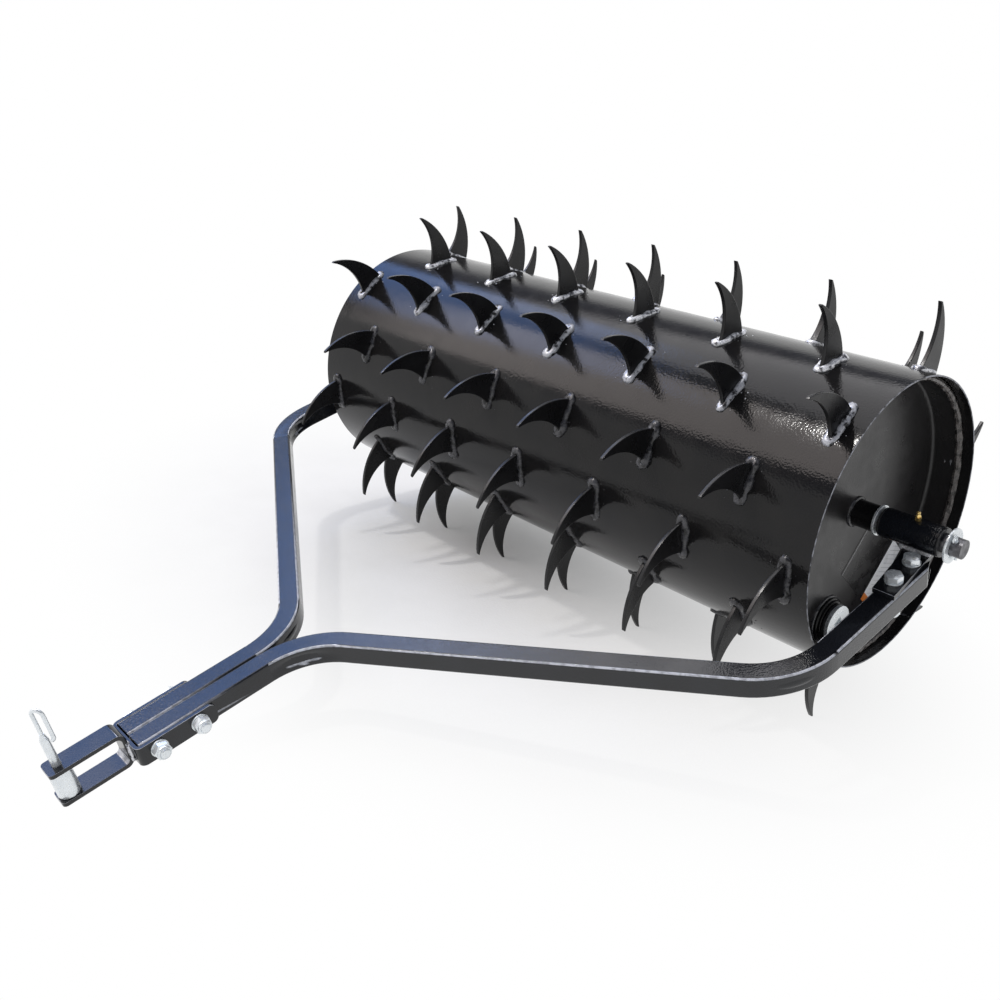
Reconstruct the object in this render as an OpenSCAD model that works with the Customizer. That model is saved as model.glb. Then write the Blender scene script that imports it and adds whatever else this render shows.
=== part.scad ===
// Tow behind aerator: a water filled drum with rows of curved claws, turning on an
// axle between two bent square tube arms that meet in a channel with a pin clevis.
// X runs along the axle, the hitch is toward -Y, Z is up, the floor is Z = 0.

/* [Drum] */

// outside radius of the rolled drum shell
shell_r = 180; // [170:1:190]
// length of the drum shell along the axle
shell_len = 914; // [900:2:930]
// wall thickness of the drum shell
shell_t = 2; // [1.5:0.1:2.5]
// sheet thickness of the pressed end plates
plate_t = 3; // [2:0.5:4]
// depth of the flat end plate behind the rim of the shell
plate_recess = 53; // [48:1:56]
// distance of the flange edge of an end plate behind the rim of the shell
flange_recess = 18; // [14:1:22]
// outside bend radius of the end plates
plate_bend_r = 8; // [6:0.5:10]

/* [Claws] */

// radius from the axle centre to the claw tips
tip_r = 259.5; // [252:0.5:266]
// thickness of a claw plate
claw_t = 5; // [4:0.5:7]
// distance between two claws of one row
claw_pitch = 142.2; // [138:0.2:144]
// width of the blunt claw tip
tip_w = 3.2; // [2:0.2:4]
// radius of the hollow leading edge of a claw
claw_front_r = 72; // [66:1:84]
// radius of the rounded trailing edge of a claw
claw_back_r = 103; // [96:1:112]
// angle by which the trailing foot of a claw follows its tip
foot_back_deg = 13.4; // [12:0.2:14.4]
// angle by which the leading foot of a claw is ahead of its tip
foot_front_deg = 0.3; // [0:0.1:1]

/* [Axle] */

// diameter of the axle shaft
axle_d = 23; // [21:0.5:25]
// distance that the axle shaft stands out past the bearing tube
axle_over = 26.5; // [24:0.5:29]
// outside diameter of the centre tube of the drum
centre_tube_d = 33; // [31:0.5:35]
// distance from a shell rim inward to the end of the centre tube
centre_tube_recess = 22; // [20:0.5:24]
// outside diameter of the inner thrust washers
thrust_d = 38; // [34:0.5:42]
// thickness of the inner thrust washers
thrust_t = 3; // [2:0.25:4]
// outside diameter of the zinc plated end washers
end_washer_d = 42; // [38:0.5:48]
// thickness of the zinc plated end washers
end_washer_t = 3; // [2:0.25:4]
// distance of the end washers from the ends of the axle
end_washer_inset = 15.5; // [15:0.25:17]
// wire diameter of one cotter pin leg
cotter_leg_d = 3; // [2:0.25:3.5]
// distance of the cotter pins from the ends of the axle
cotter_inset = 9; // [8:0.25:9.5]
// angle of the cotter pin head round the axle
cotter_deg = 125; // [90:1:150]

/* [Fill plug] */

// distance from the shell inward to the middle of the fill opening
bung_inset = 41; // [40:0.5:46]
// angle of the fill opening round the axle
bung_deg = 257; // [240:0.5:275]
// outside diameter of the welded foot of the bung
bung_d = 57; // [54:0.5:58]
// height of the welded foot of the bung
bung_foot_h = 5.5; // [4:0.5:7]
// outside diameter of the bung collar
bung_collar_d = 52.5; // [50:0.5:53.5]
// height of the bung in front of the end plate
bung_h = 9.4; // [8.5:0.1:12]
// diameter of the plug thread
plug_d = 40; // [38:0.5:42]
// length of the plug thread
plug_thread_l = 17; // [15:0.5:19]
// diameter of the round plug head
plug_head_d = 47.5; // [46:0.5:50]
// height of the round plug head
plug_head_h = 5.4; // [4:0.2:8]
// width of the square wrench socket in the plug
socket_w = 13; // [11:0.5:16]
// depth of the square wrench socket in the plug
socket_depth = 9; // [6:0.5:11]
// thickness of the rubber seal under the plug head
seal_t = 4; // [3:0.25:4.5]

/* [Label] */

// length of the label along its stripe
label_len = 90; // [70:1:92]
// width of the label across its stripe
label_w = 114; // [90:1:116]
// largest distance of the label's corners from the axle centre
label_reach = 168; // [160:0.5:169]
// angle of the stripe direction round the axle
label_deg = 228; // [220:1:235]
// distance from the axle centre to the near edge of the label
label_off = 48; // [44:1:52]
// distance by which the label is set off along its stripe
label_shift = 22; // [15:0.5:24]
// thickness of the label foil
label_t = 0.3; // [0.2:0.05:0.5]

/* [Tow arms] */

// outside width and height of the square arm tube
tube_w = 27; // [25:0.5:28]
// wall thickness of the arm tube
tube_t = 2; // [1.5:0.1:2.5]
// outside corner radius of the arm tube
tube_corner_r = 3; // [2.5:0.1:4]
// distance from the shell rim outward to the rear arm centreline
arm_out = 42; // [41:0.5:44]
// distance from the axle forward to the front end of the arms
arm_front = 777.8; // [770:0.2:788]
// distance from the axle forward to the front corner of the arm centreline
corner_front = 556; // [546:1:566]
// angle of the two bends of each arm
bend_deg = 58.7; // [58:0.1:59.5]
// centreline bend radius of the arms
arm_bend_r = 100; // [92:1:108]
// distance by which the arm ends reach behind the axle
arm_back = 9; // [5:0.5:14]
// length of the clipped outer corner at the arm ends
clip_len = 34; // [28:1:38]
// width of the clipped outer corner at the arm ends
clip_w = 14; // [10:0.5:16]

/* [Bearings] */

// outside diameter of the bearing tubes
bearing_d = 36; // [34:0.5:38]
// bore of the bearing tubes for the bushes
bearing_bore = 29; // [28:0.25:30]
// distance from the shell rim inward to the inner end of a bearing tube
bearing_inset = 13; // [12:0.25:14]
// length of a bearing tube
bearing_len = 69.5; // [66:0.5:71]
// flange thickness of the bushes
bush_flange_t = 3; // [2:0.25:3.5]
// flange diameter of the bushes
bush_flange_d = 35; // [33:0.5:38]
// length of a bush inside the bearing tube
bush_len = 20; // [15:0.5:22]
// distance of the grease nipple from the inner end of the bearing tube
nipple_pos = 39; // [30:0.5:42]
// width across the flats of the grease nipple
nipple_af = 7; // [6:0.25:8]

/* [Bracket] */

// thickness of the bracket plates
bracket_t = 6; // [5:0.25:8]
// distance from the axle to the front end of a bracket plate
bracket_front = 97; // [92:0.5:105]
// distance from the axle to the rear end of a bracket plate
bracket_back = 6; // [3:0.5:9]
// inset of the outer rear corner of a bracket plate
bracket_outer_inset = 8; // [4:0.5:11]
// reach of the inner rear corner of a bracket plate past the arm
bracket_inner_reach = 18; // [12:0.5:20]
// distance from the axle to the start of the inner flare
flare_start = 21; // [19:0.5:24]
// distance from the axle to the rear bracket bolt
bolt_rear = 32; // [30:0.5:36]
// distance between the two bolts of a bracket
bolt_gap = 41; // [36:0.5:44]
// offset of the front bracket bolt from the arm centreline
bolt_front_off = 1.5; // [0:0.25:2]
// offset of the rear bracket bolt from the arm centreline
bolt_rear_off = 3.5; // [2:0.25:3.75]

/* [Hitch] */

// thickness of the channel strip
channel_t = 4.5; // [4:0.25:5.5]
// height of the channel strip
channel_h = 25; // [23:0.5:26]
// length of the channel flanges
channel_len = 97; // [92:0.5:102]
// outside bend radius of the channel
channel_bend_r = 8; // [6:0.5:10]
// gap between the arms and the channel flanges
channel_gap = 0.6; // [0.5:0.1:1]
// gap between the front ends of the arms and the channel web
channel_web_gap = 1.8; // [1.8:0.1:2.5]
// distance from the channel web to the first channel bolt
channel_bolt_first = 24; // [22:0.5:28]
// distance between the two channel bolts
channel_bolt_gap = 50; // [44:0.5:56]
// length of the clevis from the channel web to its front edge
clevis_len = 84; // [80:0.5:90]
// width of the clevis strip
clevis_w = 28; // [27:0.5:32]
// thickness of the clevis strip
clevis_t = 5; // [4:0.25:6]
// height of the clevis over both plates
clevis_h = 45.5; // [44:0.5:49]
// outside bend radius of the clevis
clevis_bend_r = 10; // [8:0.5:12]
// corner radius of the clevis plates at their front ends
clevis_corner_r = 5; // [2:0.5:8]
// depth of the top of the clevis below the axle plane of the frame
clevis_top = 8.5; // [7:0.5:11]
// distance from the front edge of the clevis to the pin centre
pin_inset = 13.5; // [13:0.25:15]
// diameter of the hitch pin
pin_d = 10; // [9:0.25:11]
// height of the pin handle above the clevis
handle_h = 79; // [72:1:86]
// wire diameter of the pin handle
handle_d = 4.5; // [4:0.25:6]
// centreline radius of the top bend of the handle
handle_r = 6.75; // [6.25:0.25:8]
// turn of the handle loop from the axle direction toward the rear
handle_deg = 35; // [0:1:45]
// outside diameter of the spacer sleeve on the pin
sleeve_d = 25; // [23:0.5:26]

/* [Fasteners] */

// diameter of the bolts
bolt_d = 12; // [11:0.25:12.5]
// width across the flats of bolt heads and nuts
bolt_af = 18; // [17.5:0.25:19]
// height of the bolt heads
head_h = 7.5; // [6:0.25:8.5]
// height of the lock nuts
nut_h = 12; // [10:0.25:13]
// outside diameter of the bolt washers
washer_d = 21; // [20:0.25:24]
// thickness of the bolt washers
washer_t = 2; // [1.5:0.1:2.5]
// length of bolt standing out of a nut
bolt_over = 2; // [1:0.25:3]

/* [Hidden] */

$fn = 96;
// radial clearance of the axle in its bushes
run_fit = 0.06;
// radial clearance of bolts, pin and sleeve in their holes
hole_fit = 0.3;
// gap between two pieces that are welded or clamped together
seat = 0.1;
// gap between pieces of two bodies that move past each other
slip = 0.4;
// radial clearance between the threads of plug and bung
thread_fit = 0.25;
// length by which the straight runs of a bent piece lap over its bends
lap = 0.2;
// height by which the straight runs stand proud of the bends they lap over
proud = 0.02;
rows = 12;
half_len = shell_len / 2;
step_deg = 360 / rows;
tip_half_deg = asin(tip_w / 2 / tip_r);
axle_h = tip_r * cos(step_deg / 2 - tip_half_deg);
plate_x = half_len - plate_recess;
flange_r = shell_r - shell_t - seat;
bearing_x0 = half_len - bearing_inset;
bearing_x1 = bearing_x0 + bearing_len;
arm_x = half_len + arm_out;
bung_orbit = shell_r - bung_inset;
tube_end_x = half_len - centre_tube_recess;
axle_x = bearing_x1 + axle_over;
// frame plane: distances forward of the axle run down to the hitch
arm_top = -(bearing_d / 2 + seat + bracket_t + seat);
arm_mid = arm_top - tube_w / 2;
arm_front_x = tube_w / 2 + seat;
corner_rear = corner_front - (arm_x - arm_front_x) / tan(bend_deg);
bend_cut = arm_bend_r * tan(bend_deg / 2);
diag_len = (arm_x - arm_front_x) / sin(bend_deg) - 2 * bend_cut;
channel_half = tube_w + seat + channel_gap + channel_t;
web_front = arm_front + channel_web_gap + channel_t;
clevis_front = web_front + seat + clevis_len;
clevis_low = clevis_top + clevis_h;
pin_w = clevis_front - pin_inset;
pin_top = handle_h - clevis_top - handle_d / 2;
tow_pitch = asin(axle_h / norm([clevis_front, clevis_low]))
    - atan2(clevis_low, clevis_front);
front_reach = pin_w * cos(tow_pitch) + pin_top * sin(tow_pitch) + handle_d / 2;
// the machine is centred on its own outline in Y
axle_y = (front_reach - axle_h) / 2;
back_foot = shell_r * [cos(foot_back_deg), -sin(foot_back_deg)];
front_foot = shell_r * [cos(foot_front_deg), sin(foot_front_deg)];
back_tip = [tip_r, -tip_w / 2];
front_tip = [tip_r, tip_w / 2];
bracket_top = arm_top + seat + bracket_t;
bolt_front = bolt_rear + bolt_gap;
bolt_grip = bracket_t + tube_w + 2 * washer_t + 5 * seat;
bung_neck_d = plug_d + 9;
bung_x1 = plate_x + bung_h;
head_x0 = bung_x1 + seat + seal_t + seat;
channel_bolt_w = web_front - channel_bolt_first;

// axes of the drum: sketch x and y lie in world Y and Z, sketch z along the axle
module drum_axes() {
    translate([0, axle_y, axle_h]) rotate([90, 0, 90]) children();
}

// axes of the tow frame: -Y runs forward along the arms, Z stands on the arms
module frame_axes() {
    translate([0, axle_y, axle_h]) rotate([tow_pitch, 0, 0]) children();
}

// the child and its mirror image on the left side
module both() {
    children();
    mirror([1, 0, 0]) children();
}

// both ends of the drum, in drum axes
module both_ends() {
    children();
    mirror([0, 0, 1]) children();
}

function arc_centre(p, q, r, s) =
    let (d = q - p, l = norm(d))
    (p + q) / 2 + s * sqrt(r * r - l * l / 4) * [-d[1], d[0]] / l;

module rounded(w, h, r) {
    square([w - 2 * r, h], center = true);
    square([w, h - 2 * r], center = true);
    for (x = [-1, 1], y = [-1, 1])
        translate([x * (w / 2 - r), y * (h / 2 - r)]) circle(r = r);
}

module hexagon(af) {
    circle(r = af / sqrt(3), $fn = 6);
}

module ring(od, id, h) {
    linear_extrude(height = h) difference() {
        circle(d = od);
        circle(d = id);
    }
}

module shell_sketch() {
    difference() {
        circle(r = shell_r, $fn = 180);
        circle(r = shell_r - shell_t, $fn = 180);
    }
}

module drum_shell() {
    color("dimgray") drum_axes()
        translate([0, 0, -half_len]) linear_extrude(height = shell_len) shell_sketch();
}

// pressed pan: flat disc with an outward flange, the hole takes the centre tube
module pan() {
    rim = half_len - flange_recess;
    difference() {
        rotate_extrude($fn = 180) difference() {
            union() {
                translate([0, plate_x - plate_t])
                    square([flange_r - plate_bend_r, rim - plate_x + plate_t]);
                translate([0, plate_x - plate_t + plate_bend_r])
                    square([flange_r, rim - plate_x + plate_t - plate_bend_r]);
                translate([flange_r - plate_bend_r, plate_x - plate_t + plate_bend_r])
                    circle(r = plate_bend_r);
            }
            translate([0, plate_x])
                square([flange_r - plate_bend_r, rim - plate_x + 1]);
            translate([0, plate_x - plate_t + plate_bend_r])
                square([flange_r - plate_t, rim - plate_x + 1]);
            translate([flange_r - plate_bend_r, plate_x - plate_t + plate_bend_r])
                circle(r = plate_bend_r - plate_t);
            square([centre_tube_d / 2 + seat, 2 * half_len]);
        }
    }
}

module right_end_plate() {
    color("dimgray") drum_axes() difference() {
        pan();
        at_bung() translate([0, 0, plate_x - 2 * plate_t])
            cylinder(d = bung_neck_d + 2 * seat, h = 3 * plate_t);
    }
}

module left_end_plate() {
    color("dimgray") drum_axes() mirror([0, 0, 1]) pan();
}

module centre_tube() {
    color("dimgray") drum_axes() translate([0, 0, -tube_end_x])
        ring(centre_tube_d, axle_d + 2 * seat, 2 * tube_end_x);
}

module at_cotter() {
    rotate(cotter_deg) translate([0, 0, axle_x - cotter_inset]) rotate([0, 90, 0])
        children();
}

module axle_shaft() {
    color("slategray") drum_axes() difference() {
        translate([0, 0, -axle_x]) cylinder(d = axle_d, h = 2 * axle_x);
        both_ends() at_cotter()
            translate([0, 0, -axle_d]) cylinder(d = 2 * cotter_leg_d, h = 2 * axle_d);
    }
}

module thrust_washers() {
    color("silver") drum_axes() both_ends()
        translate([0, 0, tube_end_x + seat])
        ring(thrust_d, axle_d + 2 * seat, thrust_t);
}

module end_washers() {
    color("silver") drum_axes() both_ends()
        translate([0, 0, axle_x - end_washer_inset])
        ring(end_washer_d, axle_d + 2 * hole_fit, end_washer_t);
}

// split pin: closed legs through the axle, an eye on one side, ends turned out
module cotter_pins() {
    r = axle_d / 2 + slip;
    eye_r = cotter_leg_d * 1.3;
    color("silver") drum_axes() both_ends() at_cotter() {
        translate([0, 0, -r]) cylinder(d = 2 * cotter_leg_d - 2 * seat, h = 2 * r);
        for (s = [-1, 1])
            translate([0, 0, 1 - r]) rotate([180 + 55 * s, 0, 0])
            cylinder(d = cotter_leg_d - seat, h = 3 * cotter_leg_d);
        translate([0, 0, r + eye_r]) rotate([0, 90, 0])
            rotate_extrude() translate([eye_r, 0]) circle(d = cotter_leg_d);
    }
}

module at_bung() {
    rotate(bung_deg) translate([bung_orbit, 0, 0]) children();
}

module fill_bung() {
    color("dimgray") drum_axes() at_bung() difference() {
        union() {
            translate([0, 0, plate_x - 2 * plate_t])
                cylinder(d = bung_neck_d, h = 2 * plate_t + bung_foot_h);
            translate([0, 0, plate_x + seat]) cylinder(d = bung_d, h = bung_foot_h);
            translate([0, 0, plate_x + bung_foot_h])
                cylinder(d = bung_collar_d, h = bung_h - bung_foot_h);
        }
        translate([0, 0, plate_x - 3 * plate_t])
            cylinder(d = plug_d + 2 * thread_fit, h = bung_h + 4 * plate_t);
    }
}

module plug_seal() {
    color("black") drum_axes() at_bung() translate([0, 0, bung_x1 + seat])
        ring(plug_head_d - 2, plug_d + 2 * hole_fit, seal_t);
}

// round plug with a square socket for the wrench
module fill_plug() {
    color("silver") drum_axes() at_bung() difference() {
        union() {
            translate([0, 0, head_x0]) cylinder(d = plug_head_d, h = plug_head_h);
            translate([0, 0, head_x0 - plug_thread_l])
                cylinder(d = plug_d, h = plug_thread_l + 1);
        }
        translate([0, 0, head_x0 + plug_head_h - socket_depth]) rotate(45)
            linear_extrude(height = socket_depth + 1) square(socket_w, center = true);
    }
}

module drum_label() {
    color("black") drum_axes() translate([0, 0, plate_x + 0.05]) rotate(label_deg)
        linear_extrude(height = label_t) intersection() {
            translate([label_shift, label_off + label_w / 2])
                square([label_len, label_w], center = true);
            circle(r = label_reach);
        }
}

module claw_sketch() {
    back_c = arc_centre(back_tip, back_foot, claw_back_r, -1);
    front_c = arc_centre(front_tip, front_foot, claw_front_r, -1);
    intersection() {
        difference() {
            translate(back_c) circle(r = claw_back_r);
            translate(front_c) circle(r = claw_front_r);
            circle(r = shell_r + seat, $fn = 180);
        }
        circle(r = tip_r, $fn = 180);
        translate([shell_r - 8, -shell_r / 3]) square([tip_r - shell_r + 20, shell_r / 3 + 6]);
    }
}

// row k stands k steps round the drum, odd rows hold one claw less
module claw_row(k) {
    n = k % 2 == 0 ? 7 : 6;
    color("black") drum_axes() rotate(step_deg / 2 + k * step_deg)
        for (j = [0 : n - 1])
        translate([0, 0, (j - (n - 1) / 2) * claw_pitch - claw_t / 2])
        linear_extrude(height = claw_t) claw_sketch();
}

module tube_profile(cut) {
    rounded(tube_w - 2 * cut, tube_w - 2 * cut, tube_corner_r - cut * 0.9);
}

// straight run of the profile along -Y, longer than len by one lap at each end
module run(len, cut) {
    translate([0, lap, 0]) rotate([90, 0, 0])
        linear_extrude(height = len + 2 * lap) tube_profile(cut - proud);
}

// bend of the profile round the origin, from +X turning left
module arm_bend(cut) {
    rotate_extrude(angle = bend_deg) translate([arm_bend_r, 0]) tube_profile(cut);
}

// solid sweep of the right arm, in frame axes, shrunk by cut on every side
module arm_sweep(cut, extra) {
    rear_len = arm_back + corner_rear - bend_cut + extra;
    front_len = arm_front - corner_front - bend_cut + extra;
    translate([arm_x, bend_cut - corner_rear, arm_mid]) {
        mirror([0, 1, 0]) run(rear_len - lap, cut);
        translate([-arm_bend_r, 0, 0]) {
            mirror([0, 1, 0]) arm_bend(cut);
            rotate(-bend_deg) translate([arm_bend_r, 0, 0]) {
                run(diag_len, cut);
                translate([arm_bend_r, -diag_len, 0]) {
                    rotate(180) arm_bend(cut);
                    rotate(bend_deg) translate([-arm_bend_r, 0, 0])
                        run(front_len - lap, cut);
                }
            }
        }
    }
}

// upright holes of the bracket bolts at one side, in frame axes
module at_bracket_bolts() {
    translate([arm_x - bolt_front_off, -bolt_front, 0]) children();
    translate([arm_x - bolt_rear_off, -bolt_rear, 0]) children();
}

// cross holes of the channel bolts, in frame axes
module at_channel_bolts() {
    for (w = [channel_bolt_w, channel_bolt_w - channel_bolt_gap])
        translate([0, -w, arm_mid]) rotate([0, 90, 0]) children();
}

module arm() {
    frame_axes() difference() {
        arm_sweep(0, 0);
        arm_sweep(tube_t, 1);
        at_bracket_bolts() translate([0, 0, arm_top - tube_w - 1])
            cylinder(d = bolt_d + 2 * hole_fit, h = tube_w + 2);
        at_channel_bolts() cylinder(d = bolt_d + 2 * hole_fit, h = 4 * tube_w);
        translate([arm_x, arm_back, arm_top - tube_w - 1]) linear_extrude(height = tube_w + 2)
            polygon([[tube_w / 2 - clip_w, 0], [tube_w / 2, -clip_len],
                [tube_w, -clip_len], [tube_w, 1], [tube_w / 2 - clip_w, 1]]);
    }
}

module right_arm() {
    color("dimgray") arm();
}

module left_arm() {
    color("dimgray") mirror([1, 0, 0]) arm();
}

module bearing_tube() {
    frame_axes() rotate([90, 0, 90]) difference() {
        translate([0, 0, bearing_x0]) ring(bearing_d, bearing_bore, bearing_len);
        translate([0, 0, bearing_x0 + nipple_pos]) rotate([-90, 0, 0])
            cylinder(d = nipple_af - 1 + 2 * seat, h = bearing_d);
    }
}

module right_bearing_tube() {
    color("dimgray") bearing_tube();
}

module left_bearing_tube() {
    color("dimgray") mirror([1, 0, 0]) bearing_tube();
}

// flanged bush, flange toward the sketch origin
module bush() {
    ring(bush_flange_d, axle_d + 2 * run_fit, bush_flange_t);
    translate([0, 0, bush_flange_t])
        ring(bearing_bore - 2 * 0.05, axle_d + 2 * run_fit, bush_len);
}

module bush_pair() {
    frame_axes() rotate([90, 0, 90]) {
        translate([0, 0, bearing_x0 - bush_flange_t - 0.05]) bush();
        translate([0, 0, bearing_x1 + bush_flange_t + 0.05]) mirror([0, 0, 1]) bush();
    }
}

module right_bushes() {
    color("black") bush_pair();
}

module left_bushes() {
    color("black") mirror([1, 0, 0]) bush_pair();
}

// grease nipple standing on top of the bearing tube
module grease_nipples() {
    color("goldenrod") both() frame_axes()
        translate([bearing_x0 + nipple_pos, 0, bearing_d / 2]) {
        translate([0, 0, -3.5]) cylinder(d = nipple_af - 1, h = 4.5);
        translate([0, 0, 0.2]) linear_extrude(height = 5) hexagon(nipple_af);
        translate([0, 0, 5]) cylinder(d1 = nipple_af - 1, d2 = nipple_af - 3.5, h = 3);
        translate([0, 0, 7.5]) cylinder(d = nipple_af - 3, h = 1.5);
        translate([0, 0, 9]) cylinder(d = nipple_af - 2, h = 2.5);
    }
}

module bracket_sketch() {
    inner = arm_x - tube_w / 2;
    outer = arm_x + tube_w / 2;
    reach = inner - bracket_inner_reach;
    polygon([[inner, -bracket_front], [outer, -bracket_front],
        [outer - bracket_outer_inset, bracket_back], [reach, bracket_back],
        [reach, -2], [inner - bracket_inner_reach / 2, -flare_start]]);
}

module bracket() {
    frame_axes() translate([0, 0, arm_top + seat]) difference() {
        linear_extrude(height = bracket_t) bracket_sketch();
        at_bracket_bolts() translate([0, 0, -1])
            cylinder(d = bolt_d + 2 * hole_fit, h = bracket_t + 2);
    }
}

module right_bracket_plate() {
    color("dimgray") bracket();
}

module left_bracket_plate() {
    color("dimgray") mirror([1, 0, 0]) bracket();
}

// head and shank, seated on z = 0, shank downward
module bolt(grip) {
    linear_extrude(height = head_h) rotate(30) hexagon(bolt_af);
    translate([0, 0, -grip - nut_h - bolt_over]) cylinder(d = bolt_d,
        h = grip + nut_h + bolt_over);
}

// lock nut seated on z = 0, hexagon first and a round collar behind
module nut() {
    linear_extrude(height = nut_h * 0.72) difference() {
        rotate(30) hexagon(bolt_af);
        circle(d = bolt_d + 2 * seat);
    }
    translate([0, 0, nut_h * 0.72])
        ring(bolt_af - 1.5, bolt_d + 2 * seat, nut_h * 0.28);
}

module washer() {
    ring(washer_d, bolt_d + 2 * hole_fit, washer_t);
}

module bracket_bolts() {
    color("silver") both() frame_axes() at_bracket_bolts()
        translate([0, 0, bracket_top + 2 * seat + washer_t]) bolt(bolt_grip);
}

module bracket_washers() {
    color("silver") both() frame_axes() at_bracket_bolts() {
        translate([0, 0, bracket_top + seat]) washer();
        translate([0, 0, arm_top - tube_w - seat - washer_t]) washer();
    }
}

module bracket_nuts() {
    color("silver") both() frame_axes() at_bracket_bolts()
        translate([0, 0, arm_top - tube_w - 2 * seat - washer_t]) mirror([0, 0, 1]) nut();
}

// strip bent to a U round the front ends of both arms
module hitch_channel() {
    r = channel_bend_r;
    color("dimgray") frame_axes() difference() {
        intersection() {
            translate([0, 0, arm_mid - channel_h / 2]) linear_extrude(height = channel_h)
                difference() {
                translate([0, -web_front + channel_len])
                    rounded(2 * channel_half, 2 * channel_len, r);
                translate([0, -web_front + channel_t + channel_len])
                    rounded(2 * (channel_half - channel_t), 2 * channel_len,
                        r - channel_t);
            }
            translate([-channel_half - 1, 0, 0]) rotate([90, 0, 90])
                linear_extrude(height = 2 * channel_half + 2)
                translate([-web_front + channel_len / 2 - r, arm_mid])
                rounded(channel_len + 2 * r, channel_h, r);
        }
        at_channel_bolts() translate([0, 0, -2 * tube_w])
            cylinder(d = bolt_d + 2 * hole_fit, h = 4 * tube_w);
    }
}

// strip bent to a U on its side, open to the front, with two pin holes
module hitch_clevis() {
    r = clevis_bend_r;
    color("dimgray") frame_axes() difference() {
        intersection() {
            translate([-clevis_w, 0, 0]) rotate([90, 0, 90])
                linear_extrude(height = 2 * clevis_w) difference() {
                intersection() {
                    translate([-clevis_front - 1, -clevis_low])
                        square([clevis_len + 1, clevis_h]);
                    translate([-clevis_front, -clevis_top - clevis_h / 2])
                        rounded(2 * clevis_len, clevis_h, r);
                }
                translate([-clevis_front, -clevis_top - clevis_h / 2])
                    rounded(2 * (clevis_len - clevis_t), clevis_h - 2 * clevis_t,
                        r - clevis_t + 1);
            }
            translate([0, clevis_len - clevis_front, -clevis_low - 1])
                linear_extrude(height = clevis_h + 2)
                rounded(clevis_w, 2 * clevis_len, clevis_corner_r);
        }
        translate([0, -pin_w, -clevis_low - 1])
            cylinder(d = pin_d + 2 * hole_fit, h = clevis_h + 2);
    }
}

module channel_bolts() {
    x = channel_half + 2 * seat + washer_t;
    color("silver") frame_axes() at_channel_bolts() translate([0, 0, -x])
        mirror([0, 0, 1]) bolt(2 * x);
}

module channel_washers() {
    x = channel_half + seat;
    color("silver") both() frame_axes() at_channel_bolts()
        translate([0, 0, x]) washer();
}

module channel_nuts() {
    color("silver") frame_axes() at_channel_bolts()
        translate([0, 0, channel_half + 2 * seat + washer_t]) nut();
}

// straight pin with a wire handle looped over to its right side
module hitch_pin() {
    loop_h = pin_top - handle_r;
    neck_h = loop_h - 27;
    leg_h = loop_h - 29;
    curl_r = handle_r - 1;
    color("silver") frame_axes() translate([0, -pin_w, 0]) rotate(handle_deg) {
        translate([0, 0, -clevis_low + slip])
            cylinder(d = pin_d, h = clevis_low - slip + neck_h - 8);
        translate([0, 0, neck_h - 8]) cylinder(d1 = pin_d, d2 = handle_d + 0.6, h = 8);
        translate([0, 0, neck_h - lap]) wire_run(loop_h - neck_h + 2 * lap);
        translate([handle_r, 0, loop_h]) rotate([90, 0, 0]) wire_bend(handle_r, 180);
        translate([2 * handle_r, 0, leg_h - lap]) wire_run(loop_h - leg_h + 2 * lap);
        translate([2 * handle_r - curl_r, 0, leg_h]) rotate([90, 0, 0])
            mirror([0, 1, 0]) wire_bend(curl_r, 62);
    }
}

// straight stretch of handle wire along Z
module wire_run(len) {
    cylinder(d = handle_d + 2 * proud, h = len);
}

// bent stretch of handle wire round the origin, from +X turning left
module wire_bend(r, angle) {
    rotate_extrude(angle = angle) translate([r, 0]) circle(d = handle_d);
}

module hitch_sleeve() {
    color("silver") frame_axes()
        translate([0, -pin_w, -clevis_low + clevis_t + slip])
        ring(sleeve_d, pin_d + 2 * hole_fit, clevis_h - 2 * clevis_t - 2 * slip);
}

drum_shell();
right_end_plate();
left_end_plate();
centre_tube();
axle_shaft();
thrust_washers();
end_washers();
cotter_pins();
fill_bung();
plug_seal();
fill_plug();
drum_label();
claw_row(0);  // claw_row_01
claw_row(1);  // claw_row_02
claw_row(2);  // claw_row_03
claw_row(3);  // claw_row_04
claw_row(4);  // claw_row_05
claw_row(5);  // claw_row_06
claw_row(6);  // claw_row_07
claw_row(7);  // claw_row_08
claw_row(8);  // claw_row_09
claw_row(9);  // claw_row_10
claw_row(10);  // claw_row_11
claw_row(11);  // claw_row_12
right_arm();
left_arm();
right_bearing_tube();
left_bearing_tube();
right_bushes();
left_bushes();
grease_nipples();
right_bracket_plate();
left_bracket_plate();
bracket_bolts();
bracket_washers();
bracket_nuts();
hitch_channel();
hitch_clevis();
channel_bolts();
channel_washers();
channel_nuts();
hitch_pin();
hitch_sleeve();
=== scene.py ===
"""Looks of a tow behind claw aerator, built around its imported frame.

Lengths in the classes are millimetres and become metres in the meshes. X runs
along the axle, -Y points to the hitch and Z points up.
"""
import logging
import math
import random
from collections.abc import Iterable, Sequence
from dataclasses import dataclass, field, replace
from enum import Enum

import bmesh
import bpy
from mathutils import Matrix, Vector, noise


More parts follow.
